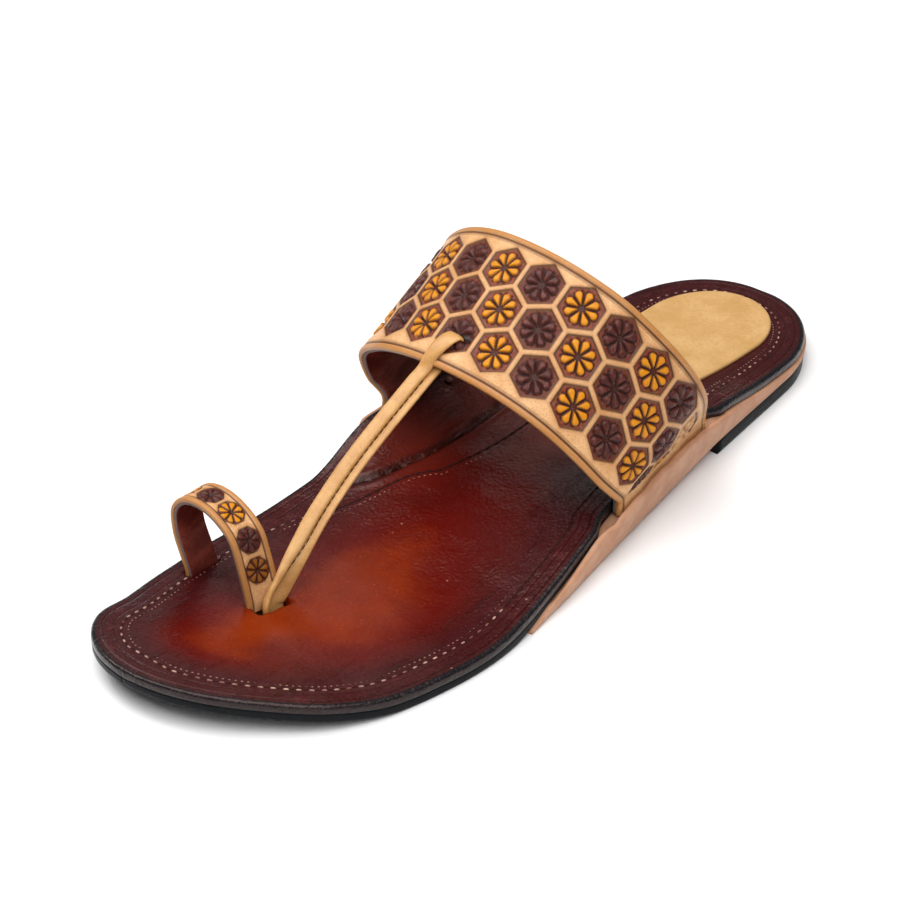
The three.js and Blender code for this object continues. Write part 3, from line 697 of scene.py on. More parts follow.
def ring_fields(fields, rest):
    """Each field of a face, and for the rest of the ring a constant: 1 for the bead, else 0."""
    return {name: np.pad(field * 1.0, ((0, 0), (0, rest)), constant_values=float(name == "bead"))
            for name, field in fields.items()}


def lining_below(name, first, second, normal, leather, aside, every, columns, profile, under_count):
    """A thin flat strip below the leather, set in a little from both edges. Its inner face, the
    one that touches the foot, is marked."""
    shift = unit(second - first) * aside
    front, rear = first + shift - normal * leather, second - shift - normal * leather
    flat = np.zeros((len(front[::every]), columns))
    rings = strap_rings(front[::every], rear[::every], normal[::every], flat, profile, under_count)
    inner = np.zeros(rings.shape[:2])
    inner[:, columns + 2:-2] = 1.0
    return loft(name, rings, {"inner": inner})


band_normal = strip_normal(front_line, rear_line)
LEATHER_EDGE = [(0.45, 0.0), (0.12, 0.12), (0.0, 0.42), (0.0, 1.1), (0.25, BAND_LEATHER_T)]
rings = strap_rings(front_line, rear_line, band_normal, height, LEATHER_EDGE, 10)
fields = {"panel": panel, "drop": drop, "core": core, "line": outline, "carved": carved,
          "yellow": yellow, "bare": bare, "aged": aged, "border": border, "slit": slit,
          "burnt": burnt, "bead": 1 - step(1.0, 1.3, side_v)}
band = loft("band_leather", rings, ring_fields(fields, rings.shape[1] - BAND_COLUMNS))
settle(band, "upper_straps")

# %% Band lining
LINING_EDGE = [(0.0, 0.0), (0.0, 0.35), (0.0, 0.8), (0.3, BAND_LINING_T)]
lining = lining_below("band_lining", front_line, rear_line, band_normal, BAND_LEATHER_T, 0.35,
                      3, 26, LINING_EDGE, 30)
settle(lining, "upper_straps")

# %% [markdown]
# The toe loop is the same kind of strip, narrower, with both feet let through slots in the footbed.
# Its rosettes sit in rounded panels, and its lining is a second thin layer.

# %% Toe loop
LOOP_FRONT_AT, LOOP_WIDTH, LOOP_MEDIAL, LOOP_LATERAL = 47.0, 10.8, -36.6, -10.15
LOOP_HEIGHT, SLOT_AT, SLOT_TURN = 26.2, 51.6, 0.2
LOOP_ARCH = [(-0.15, 0.45), (-0.14, 0.77), (0.03, 0.95), (0.28, 1.0), (0.55, 0.93), (0.785, 0.74),
             (0.9, 0.43)]
LOOP_LEATHER_T, LOOP_LINING_T = 1.3, 0.9
LOOP_PANELS = (11.9, 20.9, 30.1, 38.6, 47.4, 56.2)
LOOP_PANEL_SIZE, PANEL_REACH, FLOWER_REACH = 4.3, 0.84, 0.86


def loop_edge(w):
    """Front (w = 0) or rear (w = 1) edge of the loop, from its medial to its lateral foot."""
    distance, aside = LOOP_FRONT_AT + w * LOOP_WIDTH, (w - 0.5) * LOOP_WIDTH
    lateral_x = LOOP_LATERAL + aside * math.sin(SLOT_TURN)
    lateral_at = SLOT_AT + aside * math.cos(SLOT_TURN)
    height = rim_height(np.array([distance / LENGTH]))[0]

    def foot(x, d, z):
        return [x + SHIFT_X, TOE_Y + d, rim_height(np.array([d / LENGTH]))[0] + z]

    rows = [[LOOP_MEDIAL + (lateral_x - LOOP_MEDIAL) * across + SHIFT_X,
             TOE_Y + distance + (lateral_at - distance) * max(0.0, across) ** 2,
             height + LOOP_HEIGHT * share] for across, share in LOOP_ARCH]
    points = [foot(LOOP_MEDIAL, distance, -SLOT_DEPTH), foot(LOOP_MEDIAL, distance, JOINT), *rows,
              foot(lateral_x, lateral_at, JOINT), foot(lateral_x, lateral_at, -SLOT_DEPTH)]
    return spline(np.array(points), 40)


loop_front, loop_rear = loop_edge(0.0), loop_edge(1.0)
loop_run = arc((loop_front + loop_rear) / 2)
LOOP_ROWS, LOOP_COLUMNS = 250, 40
loop_u = np.linspace(0, loop_run[-1], LOOP_ROWS)
first, second = resample(loop_front, loop_run, loop_u), resample(loop_rear, loop_run, loop_u)
width = np.linalg.norm(second - first, axis=1)[:, None]
u, v = np.meshgrid(loop_run[-1] - loop_u, np.linspace(0, 1, LOOP_COLUMNS), indexing="ij")
v = v * width
centres = np.array(LOOP_PANELS)
nearest = np.abs(u[..., None] - centres).argmin(-1)
a, b = centres[nearest] - u, v - width / 2
octagon = np.maximum(np.maximum(np.abs(a), np.abs(b)), 0.7071 * (np.abs(a) + np.abs(b)))
octagon = octagon - LOOP_PANEL_SIZE * PANEL_REACH
panel = 1 - step(-0.25, 0.15, octagon)
drop_gap, radius = rosette(a, b, LOOP_PANEL_SIZE * FLOWER_REACH)
drop = (1 - step(-0.15, 0.12, drop_gap)) * panel
core = (1 - step(0.3, 0.6, radius)) * panel
outline = bump(octagon - 0.02, 0.24)
carved = bump(drop_gap - 0.18, 0.2) * panel
side_v = np.minimum(v, width - v)
border = step(1.25, 1.45, side_v) * (1 - step(1.75, 1.95, side_v))
height = (-0.35 * panel - 0.12 * outline + 0.36 * drop - 0.25 * core
          - 0.25 * bump(side_v - 1.6, 0.22) + 0.12 * bump(side_v - 0.6, 0.5))
loop_normal = strip_normal(first, second)
LOOP_EDGE = [(0.35, 0.0), (0.1, 0.1), (0.0, 0.35), (0.0, 1.0), (0.15, LOOP_LEATHER_T)]
rings = strap_rings(first, second, loop_normal, height, LOOP_EDGE, 8)
fields = {"panel": panel, "drop": drop, "core": core, "line": outline, "carved": carved,
          "yellow": nearest % 2 == 0, "bare": 0 * panel, "aged": nearest == 0, "border": border,
          "slit": 0 * panel, "burnt": bump(octagon - 0.5, 0.6), "bead": 1 - step(1.0, 1.3, side_v)}
toe_loop = loft("toe_loop_leather", rings, ring_fields(fields, rings.shape[1] - LOOP_COLUMNS))
settle(toe_loop, "toe_loop")

LOOP_LINING_EDGE = [(0.0, 0.0), (0.0, 0.3), (0.0, 0.65), (0.25, LOOP_LINING_T)]
loop_lining = lining_below("toe_loop_lining", first, second, loop_normal, LOOP_LEATHER_T, 0.25,
                           2, 12, LOOP_LINING_EDGE, 12)
settle(loop_lining, "toe_loop")

# %% [markdown]
# The thong is one strip folded lengthwise and sewn along its open edge. Its two plies part at the
# ends. At the slot the lower ply fans out. At the band the upper ply climbs over the front edge and
# dives into a slit, while the lower ply goes under. Each ply is a rounded section carried along a
# path, and the section turns from standing along the shoe to lying flat.

# %% Thong paths
THONG_FOOT, THONG_HEAD = (-7.65, 51.6, 2.6), (-9.6, 119.5, 49.8)
THONG_WAY = [
    (0.065, 0.17, 0.2), (0.145, 0.28, 0.6), (0.26, 0.41, 1.1), (0.39, 0.535, 1.3),
    (0.525, 0.655, 1.2), (0.67, 0.77, 0.8), (0.82, 0.88, 0.3),
]
OVER_EDGE = [(-0.7, -1.7, 0.1), (1.9, 2.1, 1.0), (4.8, 4.5, 2.0), (7.0, 5.7, 3.0), (8.5, 5.8, 3.8),
             (9.3, 4.9, 4.2)]
PLY_ASIDE, LOWER_T, SLOT_RISE, PLY_POINTS = 0.7, 1.4, 3.7, 28
foot, head = np.array(THONG_FOOT), np.array(THONG_HEAD)
climb = np.array(THONG_WAY)
between = np.column_stack([foot[0] + (head[0] - foot[0]) * climb[:, 0] - climb[:, 2],
                           foot[1] + (head[1] - foot[1]) * climb[:, 0],
                           foot[2] + (head[2] - foot[2]) * climb[:, 1]])
to_frame = np.array([SHIFT_X, TOE_Y, 0.0])
thong_line = np.vstack([foot, foot + (0, 0, SLOT_RISE), between, head]) + to_frame


def turning(line, turns, until):
    """Across and outward directions along a line: the across direction turns in plan from turns[0]
    to turns[1] over the first part of the way, and stays square to the line."""
    way = unit(np.gradient(line, axis=0))
    share = arc(line) / arc(line)[-1]
    angle = turns[0] + (turns[1] - turns[0]) * step(until[0], until[1], share)
    flat = np.column_stack([np.cos(angle), np.sin(angle), np.zeros(len(line))])
    wide = unit(flat - way * (flat * way).sum(1)[:, None])
    return wide, np.cross(wide, way), share


def ply_rings(line, wide, out, width, thickness, crown=0.0):
    """A rounded section |p|^3 + |q|^3 = 1, scaled to the width and the thickness of the ply, with
    its outer face crowned."""
    angle = np.linspace(0, 2 * np.pi, PLY_POINTS, endpoint=False)
    c, s = np.cos(angle), np.sin(angle)
    size = (np.abs(c) ** 3 + np.abs(s) ** 3) ** (-1 / 3)
    across, raised = size * c, size * s
    raised = raised + crown * np.maximum(raised, 0) * (1 - across**2)
    return (line[:, None] + wide[:, None] * (across[None, :, None] * width[:, None, None] / 2)
            + out[:, None] * (raised[None, :, None] * thickness[:, None, None] / 2))


THONG_TURNS = (math.pi / 2 - SLOT_TURN, 0.25)
even = spline(thong_line, 30)
even = resample(even, arc(even), np.linspace(0, arc(even)[-1], 170))
wide, out, share = turning(even, THONG_TURNS, (0.05, 0.42))
opened = 1 - step(0.02, 0.3, share)
lower_width = 4.5 + 1.9 * opened
lower_centre = even - out * PLY_ASIDE + wide * (1.5 - 0.5 * opened)[:, None]
lower_thick = np.full(len(share), LOWER_T)
lower = loft("thong_lower_ply", ply_rings(lower_centre, wide, out, lower_width, lower_thick))
before_edge = share < 0.93
upper_line = (even + out * PLY_ASIDE - wide * (0.4 + 1.75 * opened)[:, None])[before_edge][::6]
over = np.array(OVER_EDGE)
over_line = np.column_stack([THONG_HEAD[0] + over[:, 2], FRONT_EDGE["crown"] + over[:, 0],
                             FRONT_EDGE["height"] + over[:, 1]]) + to_frame
upper_path = spline(np.vstack([upper_line, over_line]), 12)
upper_run = arc(upper_path)
upper_path = resample(upper_path, upper_run, np.linspace(0, upper_run[-1], 220))
full = arc(even)[-1] / arc(upper_path)[-1]
upper_wide, upper_out, upper_share = turning(upper_path, THONG_TURNS, (0.05 * full, 0.42 * full))

curl = step(0.88, 0.97, upper_share)[:, None]
upper_way = unit(np.gradient(upper_path, axis=0))
aside = np.array([[1.0, -0.15, 0.0]])
aside = unit(aside - upper_way * (aside * upper_way).sum(1)[:, None])
upper_wide = unit(upper_wide * (1 - curl) + aside * curl)
upper_out, curl = np.cross(upper_wide, upper_way), curl[:, 0]
upper_width = 1.5 + 2.5 * step(0.03, 0.32, upper_share) + 1.5 * curl
upper_thick = 1.55 - 0.35 * curl
upper = loft("thong_upper_ply", ply_rings(upper_path, upper_wide, upper_out, upper_width,
                                          upper_thick, crown=0.25))
for ply in (lower, upper):
    settle(ply, "upper_straps")

# %% [markdown]
# Stitches are many and alike, so one small bead is copied to many places at once: the bead's points
# are turned into each stitch's own axes by array multiplication and joined into one mesh.

# %% Bead arrays
def beads(name, centres, along, normal, size, rings=5, around=8):
    """Ellipsoid x = size * (cos p, sin p cos t, sin p sin t), copied to every centre with its long
    axis along the row of stitches. A single direction serves all the centres."""
    p = np.linspace(0, np.pi, rings + 2)[1:-1]
    t = np.linspace(0, 2 * np.pi, around, endpoint=False)
    ball = np.stack([np.repeat(np.cos(p), around), np.outer(np.sin(p), np.cos(t)).ravel(),
                     np.outer(np.sin(p), np.sin(t)).ravel()], -1) * np.array(size) / 2
    ball = np.vstack([ball, [[size[0] / 2, 0, 0], [-size[0] / 2, 0, 0]]])
    j = np.arange(around)
    k = (j + 1) % around
    wall = [np.stack([i * around + j, i * around + k, (i + 1) * around + k, (i + 1) * around + j], -1)
            for i in range(rings - 1)]
    quads = np.concatenate(wall)
    tips = np.concatenate([np.stack([j, k, 0 * j + rings * around], -1),
                           np.stack([(rings - 1) * around + k, (rings - 1) * around + j,
                                     0 * j + rings * around + 1], -1)])
    quads = np.concatenate([quads[:, [0, 1, 2]], quads[:, [0, 2, 3]], tips])
    along, normal = unit(along + 0 * centres), unit(normal + 0 * centres)
    side = unit(np.cross(normal, along))
    normal = np.cross(along, side)
    axes = np.stack([along, side, normal], 1)
    points = centres[:, None] + np.einsum("pk,nkj->npj", ball, axes)
    faces = quads[None] + (np.arange(len(centres)) * len(ball))[:, None, None]
    piece = mesh_of(name, points.reshape(-1, 3), faces.reshape(-1, 3))
    settle(piece)
    return piece


# %% Stitch rows of the footbed
MEDIAL_ROW = [
    (0.0, 8.0), (0.22, 8.0), (0.3, 9.5), (0.335, 13.0), (0.375, 18.0), (0.42, 23.0), (0.45, 27.0),
    (0.5, 30.5), (0.56, 31.0), (0.64, 27.0), (0.72, 15.0), (0.78, 9.0), (0.84, 8.0), (1.0, 8.0),
]
PALE_STITCH, DARK_STITCH = (1.5, 0.62, 0.5), (2.0, 1.0, 0.5)
STITCH_PIT_SHADE, DOT = (1.6, 0.85, 0.14), (0.75, 0.5, 0.2)
STITCH_STEP, DOT_STEP, DOT_ROW_IN, THREAD_INSET = 3.3, 1.65, 1.9, 8.0
DULL_FROM, DULL_TO = -46.0, 62.0


def row_line(extra):
    """Closed line inside the edge, up the lateral side and back down the medial side."""
    at = stations(1400)
    table = [(x, value + extra) for x, value in MEDIAL_ROW]
    lateral = rim_line(at, 1, THREAD_INSET + extra)
    medial = rim_line(at, -1, smooth(table, at))
    loop = np.vstack([lateral[60:-60], medial[-60:60:-1]])
    return np.vstack([loop, loop[:1]])


def row_places(extra, pitch, start):
    """Evenly spaced places along a row on the footbed, and the row's direction at each."""
    line = row_line(extra)
    line = np.column_stack([line, footbed_top(line[:, 0], line[:, 1])])
    run = arc(line)
    count = int(run[-1] / pitch)
    places = (np.arange(count) + start) * run[-1] / count
    centres = resample(line, run, places)
    ahead = resample(line, run, np.minimum(places + 0.8, run[-1]))
    behind = resample(line, run, np.maximum(places - 0.8, 0))
    return centres, ahead - behind


up_axis = np.array([0.0, 0.0, 1.0])
centres, along = row_places(0.0, STITCH_STEP, 0.5)
dull = (centres[:, 1] > DULL_FROM) & (centres[:, 1] < DULL_TO)
proud = centres + up_axis * 0.02
pale = beads("footbed_thread", proud[~dull], along[~dull], up_axis, PALE_STITCH)
dark_thread = beads("footbed_dark_thread", centres[dull], along[dull], up_axis, DARK_STITCH)
holes, hole_way = row_places(0.0, STITCH_STEP, 0.0)
# The pits are flat dark beads: painted shade in the stitch holes.
pit_shade = beads("footbed_stitch_pit_shade", holes - up_axis * 0.02, hole_way, up_axis, STITCH_PIT_SHADE)
dots, dot_way = row_places(DOT_ROW_IN, DOT_STEP, 0.5)
dot_row = beads("footbed_dot_row", dots, dot_way, up_axis, DOT, 3, 6)

# %% Seam of the thong and knot under the band
SEAM_FROM, SEAM_TO, SEAM_STEP = 0.14, 0.93, 2.3
KNOT_AT = np.array([[-35.0, 16.6, 19.9], [-33.3, 13.4, 18.0]])

seam_run = arc(even)
seam_at = np.arange(seam_run[-1] * SEAM_FROM, seam_run[-1] * SEAM_TO, SEAM_STEP)
edge_line = even + wide * (1.68 - 2.75 * opened)[:, None]
seam_centres = resample(edge_line, seam_run, seam_at)
seam_way = resample(edge_line, seam_run, seam_at + 0.6) - resample(edge_line, seam_run, seam_at - 0.6)
# The seam's beads nearly touch end to end: stitches as dashes on a dark line of painted shadow in the
# groove between the plies.
seam_and_shadow = beads("thong_seam_and_shadow", seam_centres, seam_way, resample(wide, seam_run, seam_at), (2.2, 0.36, 0.3))
knot = beads("thread_knot", KNOT_AT, np.array([1.0, 0.6, -0.3]), up_axis, (2.6, 2.2, 1.8), 9, 16)

# %% [markdown]
# Finishes are formulas too. A small class wraps a shader socket, so that sums and products of masks
# read as Python expressions and add Math nodes as they go. Colours are mixed by Mix nodes, and any
# other node comes from one method.

# %% Shader values
class Value:
    """A number in the shader: operators on it add Math nodes to its finish."""

    def __init__(self, finish, socket):
        self.finish, self.socket = finish, socket

    def math(self, operation, *others):
        sockets = dict(enumerate((self, *others)))
        return self.finish.node("ShaderNodeMath", {"operation": operation}, sockets)

    def __add__(self, other):
        return self.math("ADD", other)

    def __sub__(self, other):
        return self.math("SUBTRACT", other)

    def __rsub__(self, other):
        return (self * -1.0) + other

    def __mul__(self, other):
        return self.math("MULTIPLY", other)

    def __pow__(self, other):
        return self.math("POWER", other)

    __radd__, __rmul__ = __add__, __mul__

    def clip(self):
        return self.finish.node("ShaderNodeClamp", {}, {"Value": self})

    def over(self, low, high):
        """0 at low, 1 at high, smooth between them."""
        return self.finish.node("ShaderNodeMapRange", {"interpolation_type": "SMOOTHSTEP"},
                                {"Value": self, "From Min": low, "From Max": high})

    def bell(self, centre, width):
        """exp(-((value - centre) / width)^2)."""
        return (((self - centre) * (1.0 / width)) ** 2.0 * -1.0).math("EXPONENT")


class Finish:
    """A material with one Principled shader."""

    def __init__(self, name, roughness=0.5, **settings):
        self.material = bpy.data.materials.new(name)
        self.material.use_nodes = True
        self.tree = self.material.node_tree
        self.shader = self.tree.nodes["Principled BSDF"]
        self.shader.inputs["Roughness"].default_value = roughness
        for socket, value in settings.items():
            self.shader.inputs[socket.replace("_", " ")].default_value = value

    def node(self, kind, settings, sockets, output=0):
        """One node: its settings are set first, then its sockets get values or links."""
        node = self.tree.nodes.new(kind)
        for name, value in settings.items():
            setattr(node, name, value)
        for key, value in sockets.items():
            self.feed(node.inputs[key], value)
        return Value(self, node.outputs[output])

    def feed(self, socket, value):
        if isinstance(value, Value):
            self.tree.links.new(value.socket, socket)
        elif isinstance(value, tuple) and len(value) == 3 and socket.type == "RGBA":
            socket.default_value = (*value, 1.0)
        else:
            socket.default_value = value

    def set(self, socket, value):
        self.feed(self.shader.inputs[socket], value)

    def field(self, name):
        return self.node("ShaderNodeAttribute", {"attribute_name": name}, {}, "Fac")

    def place(self):
        return self.node("ShaderNodeTexCoord", {}, {}, "Object")

    def axes(self):
        """Object coordinates in millimetres, one Value for each axis."""
        split = self.tree.nodes.new("ShaderNodeSeparateXYZ")
        self.feed(split.inputs[0], self.place())
        return [Value(self, split.outputs[k]) * (1.0 / MM) for k in range(3)]

    def noise(self, size, detail=3.0, roughness=0.5, scale=None):
        """Noise with grains of about the given size in mm, from 0 to 1, longer where scale < 1."""
        where = self.place()
        if scale is not None:
            where = self.node("ShaderNodeMapping", {}, {"Vector": where, "Scale": scale}, "Vector")
        sockets = {"Vector": where, "Scale": 1.0 / (size * MM), "Detail": detail, "Roughness": roughness}
        return self.node("ShaderNodeTexNoise", {}, sockets, "Fac")

    def cells(self, size, feature="F1"):
        """Distance to the nearest of scattered points, about the given size in mm apart."""
        sockets = {"Vector": self.place(), "Scale": 1.0 / (size * MM)}
        return self.node("ShaderNodeTexVoronoi", {"feature": feature}, sockets, "Distance")

    def mix(self, share, low, high):
        """A colour between low and high; share is a number or a Value."""
        return self.node("ShaderNodeMix", {"data_type": "RGBA"}, {0: share, 6: low, 7: high}, 2)

    def coats(self, tone, *layers):
        """Colours laid over a tone one after the other, from pairs of (share, colour)."""
        for share, colour in layers:
            tone = self.mix(share, tone, colour)
        return tone

    def relief(self, *layers):
        """A chain of Bump nodes, each from (height value, depth in mm)."""
        normal = None
        for height, depth in layers:
            sockets = {"Height": height, "Distance": depth * MM, "Strength": 1.0}
            if normal is not None:
                sockets["Normal"] = normal
            normal = self.node("ShaderNodeBump", {}, sockets, "Normal")
        self.set("Normal", normal)

    def dress(self, *pieces):
        for piece in pieces:
            piece.data.materials.clear()
            piece.data.materials.append(self.material)
        names = ", ".join(piece.name for piece in pieces)
        print(f"{self.material.name}: {len(self.tree.nodes)} nodes, on {names}")


# %% [markdown]
# The footbed is burnished: orange in the middle, going through red to almost black at the rim, under a
# glossy wax coat. Its sunburst is a few wide bells laid along the sole; two of them are painted sheen,
# glossy patches beside the thong and the toe slot. A warm bounce light is painted on the medial ear. The
# rim carries two scored lines, and the cut edge is painted black.

# %% Footbed finish
BURGUNDY, OXBLOOD = (0.04, 0.003, 0.004), (0.055, 0.0025, 0.002)
RED, ORANGE = (0.09, 0.0022, 0.0006), (0.2, 0.018, 0.0005)
EDGE_BLACK, EDGE_WORN, WARM = (0.006, 0.0065, 0.008), (0.02, 0.022, 0.026), (1.0, 0.66, 0.58, 1.0)
EAR_PAINTED_BOUNCE, RUBBED, FLECK = (0.16, 0.024, 0.014), (0.11, 0.02, 0.02), (0.5, 0.25, 0.16)
SOOT, FOLD_SHADE, SLOT_SHADE = (0.012, 0.002, 0.002), (0.006, 0.001, 0.001), (0.004, 0.001, 0.001)
# Rows are (x, y, width across, width along, strength). The bells at (-8, -58) and (13, -86) are painted
# sheen beside the thong and the toe slot; the rest lay the sunburst.
SUNBURST_AND_SHEEN = [
    (-6.0, -96.0, 13.0, 24.0, 0.6), (2.0, -112.0, 22.0, 10.0, 0.3), (8.0, -74.0, 24.0, 15.0, 0.46),
    (11.0, -56.0, 18.0, 14.0, 0.42), (-1.0, -38.0, 13.0, 15.0, 0.33), (-8.0, -58.0, 9.0, 14.0, 0.34),
    (13.0, -86.0, 14.0, 10.0, 0.3), (2.0, 16.0, 20.0, 30.0, 0.62),
]

hide = Finish("burnished_footbed", 0.2, Coat_Weight=0.05, Coat_Roughness=0.1,
              Specular_IOR_Level=0.36, Specular_Tint=WARM)
x, y, _ = hide.axes()
dye_and_painted_light = None
for cx, cy, wx, wy, strength in SUNBURST_AND_SHEEN:
    spot = (((x - cx) * (1 / wx)) ** 2.0 + ((y - cy) * (1 / wy)) ** 2.0) * -1.0
    spot = spot.math("EXPONENT") * strength
    dye_and_painted_light = spot if dye_and_painted_light is None else 1.0 - (1.0 - dye_and_painted_light) * (1.0 - spot)
inset, ear = hide.field("inset"), hide.field("ear")
cloud, speck = hide.noise(14.0, 4.0, 0.6), hide.noise(1.1, 4.0, 0.7)
# The ear term adds painted bounce light on the medial ear, which lies in the band's shade.
dye_and_painted_light = dye_and_painted_light + 0.16 + y.over(30.0, -45.0) * 0.14 + ear * 0.3
dye_and_painted_light = (dye_and_painted_light + (cloud - 0.5) * 0.45 + (speck - 0.5) * 0.16) * inset.over(5.0, 25.0)
brushed = hide.noise(2.4, 4.0, 0.65, (1.0, 0.16, 1.0)).over(0.5, 0.72) * inset.over(30.0, 12.0)
rub = hide.noise(5.0, 5.0, 0.7).over(0.52, 0.75) * (1.0 - inset.over(8.0, 14.0)) * 0.45
scored = (inset.bell(5.9, 0.22) * 0.6 + inset.bell(2.9, 0.26)).clip() * (1.0 - ear)
folds = (hide.field("crease") * hide.noise(3.0, 5.0, 0.7).over(0.15, 0.55)).clip()
fleck = hide.cells(5.3).over(0.085, 0.045) * hide.noise(9.0).over(0.5, 0.62)
bevel = hide.noise(0.7, 5.0, 0.7)
rim = (inset + (bevel - 0.5) * 1.2).over(2.1, 0.9)
cut = 1.0 - (1.0 - hide.field("edge")) * (1.0 - rim)
hide.set("Base Color", hide.coats(
    BURGUNDY, (dye_and_painted_light.over(0.05, 0.3), OXBLOOD), (dye_and_painted_light.over(0.22, 0.58), RED),
    # The red laid on the medial ear is painted warm bounce light.
    (dye_and_painted_light.over(0.55, 0.98), ORANGE), (ear * inset.over(2.5, 9.0) * 0.5, EAR_PAINTED_BOUNCE),
    # The folds' near-black layer is painted shade in the crease's wrinkles.
    (brushed * 0.45, SOOT), (rub, RUBBED), (scored * 0.6, SOOT), (folds * 0.85, FOLD_SHADE),
    (fleck * 0.5, FLECK), (cut, hide.mix(bevel.over(0.5, 0.72), EDGE_BLACK, EDGE_WORN)),
    # The slots' near-black layer is painted shade in the recesses the straps go through.
    (hide.field("slot") * 0.92, SLOT_SHADE)))
hide.set("Roughness", 0.17 + speck * 0.16)
grain = hide.cells(0.95, "SMOOTH_F1")
hide.relief((hide.noise(22.0, 2.0), 1.3), (cloud, 0.3), (brushed, 0.12),
            (scored * -1.0 + rub * 0.6 - folds, 0.2), (grain + speck, 0.11))
hide.dress(insole)

# %% [markdown]
# The black edge is painted in several coats and rubbed, so it is satin and faintly streaked along
# the sole. The wrap of the wedge is plain natural leather, paler where it has been stretched.

# %% Edge and side finishes
EDGE_DUST, WRAP_TAN, WRAP_PALE = (0.02, 0.021, 0.024), (0.46, 0.22, 0.12), (0.56, 0.3, 0.18)
WRAP_PORE, WRAP_STAIN = (0.45, 0.2, 0.11), (0.2, 0.07, 0.04)

black = Finish("painted_edge", 0.3, Specular_IOR_Level=0.07)
streak = black.noise(1.6, 4.0, 0.6, (0.35, 0.35, 2.4))
dust = black.noise(0.8, 4.0, 0.7)
black.set("Base Color", black.mix(dust.over(0.55, 0.8), EDGE_BLACK, EDGE_DUST))
black.set("Roughness", 0.24 + streak * 0.2)
black.relief((streak, 0.22), (dust, 0.05))
black.dress(outsole, lift)

side = Finish("natural_wrap", 0.52, Specular_IOR_Level=0.35)
mottle, pores = side.noise(9.0, 4.0, 0.6), side.noise(0.9, 4.0, 0.7)
stain = side.noise(3.0, 3.0, 0.6, (0.4, 0.12, 1.0)).over(0.66, 0.76)
side.set("Base Color", side.coats(
    WRAP_TAN, (mottle.over(0.35, 0.7), WRAP_PALE), (pores.over(0.55, 0.75) * 0.4, WRAP_PORE),
    (stain * 0.35, WRAP_STAIN)))
side.set("Roughness", 0.46 + pores * 0.2)
side.relief((mottle, 0.3), (pores, 0.06))
side.dress(wedge)

# %% [markdown]
# The tooled leather is vegetable tanned: a warm tan with a slightly darker grain. Panels, drops,
# cores and border lines are masks that were stored on the mesh with the relief, so paint and relief
# can't slip apart. Each drop is yellow or brown by its flower's place in the honeycomb.

# %% Tooled leather finish
TAN, TAN_DEEP, BEAD = (0.76, 0.45, 0.22), (0.6, 0.31, 0.125), (0.42, 0.17, 0.04)
GROUND, YELLOW, AUBERGINE = (0.18, 0.03, 0.012), (0.66, 0.245, 0.002), (0.065, 0.013, 0.01)
TAN_PORE, TAN_BURNT, GROUND_WORN = (0.42, 0.17, 0.06), (0.4, 0.16, 0.05), (0.3, 0.085, 0.045)
GROUND_DARK, YELLOW_WORN, BROWN_WORN = (0.08, 0.018, 0.012), (0.55, 0.19, 0.006), (0.2, 0.052, 0.034)
CARVED_DARK, CORE_SHADE, SLIT_SHADE = (0.01, 0.003, 0.003), (0.02, 0.007, 0.006), (0.01, 0.004, 0.003)
LINE_DARK, BORDER_DARK = (0.04, 0.009, 0.005), (0.075, 0.018, 0.005)

tooled = Finish("tooled_leather", 0.38, Specular_IOR_Level=0.2, Coat_Roughness=0.12)
mask = {name: tooled.field(name) for name in fields}
mottle, pores = tooled.noise(8.0, 4.0, 0.6), tooled.noise(0.5, 4.0, 0.7)
worn = tooled.noise(1.5, 5.0, 0.75)
ground = tooled.coats(GROUND, (worn.over(0.4, 0.72), GROUND_WORN),
                      ((1.0 - mask["yellow"]) * 0.5, GROUND_DARK))
brown = tooled.mix(worn.over(0.45, 0.72), AUBERGINE, BROWN_WORN)
bright = tooled.mix(worn.over(0.42, 0.75), YELLOW, YELLOW_WORN)
paint = tooled.mix(mask["yellow"] * (1.0 - mask["aged"] * 0.65), brown, bright)
tooled.set("Base Color", tooled.coats(
    TAN, (mottle.over(0.3, 0.75), TAN_DEEP), (pores.over(0.42, 0.72) * 0.6, TAN_PORE),
    (mask["burnt"] * 0.35, TAN_BURNT), (mask["bead"] * 0.8, BEAD),
    (mask["panel"] * (1.0 - mask["bare"] * 0.9), ground),
    (mask["drop"] * (1.0 - mask["bare"]), paint),
    # The cores' near-black is painted shade in the small hole at each flower's centre.
    (mask["carved"] * (1.0 - mask["bare"] * 0.6), CARVED_DARK), (mask["core"] * 0.92, CORE_SHADE),
    ((mask["line"] * 1.05).clip(), LINE_DARK), (mask["border"] * 0.97, BORDER_DARK),
    # The slit's near-black is painted shade in the cut where the thong dives in.
    (mask["slit"].over(0.3, 0.6), SLIT_SHADE)))
tooled.set("Roughness", 0.3 + worn * 0.2)
tooled.set("Coat Weight", mask["drop"] * 0.12 + mask["bead"] * 0.12)
tooled.relief((worn * mask["panel"], 0.22), (mottle, 0.12), (pores, 0.06))
tooled.dress(band, toe_loop)

# %% [markdown]
# The thong is a smoother piece of the same tan leather. The lining is dyed burgundy on the face that
# touches the foot, its tone lifted as painted bounce light in the band's shade, and raw like felt at its
# edges. The sock on the heel is a tan cloth with a fine weave, drawn by two noises stretched across each
# other.

# %% Thong, lining and sock
STRAP_TAN, STRAP_DEEP, STRAP_PORE = (0.62, 0.34, 0.115), (0.5, 0.24, 0.07), (0.36, 0.14, 0.035)
LINING_DARK_WITH_BOUNCE, LINING_LIGHT_WITH_BOUNCE = (0.13, 0.022, 0.015), (0.27, 0.055, 0.036)
FELT_DARK, FELT_LIGHT = (0.09, 0.06, 0.055), (0.3, 0.22, 0.2)
SOCK_TAN, SOCK_DEEP, SOCK_THREAD = (0.6, 0.365, 0.15), (0.51, 0.29, 0.1), (0.42, 0.21, 0.065)

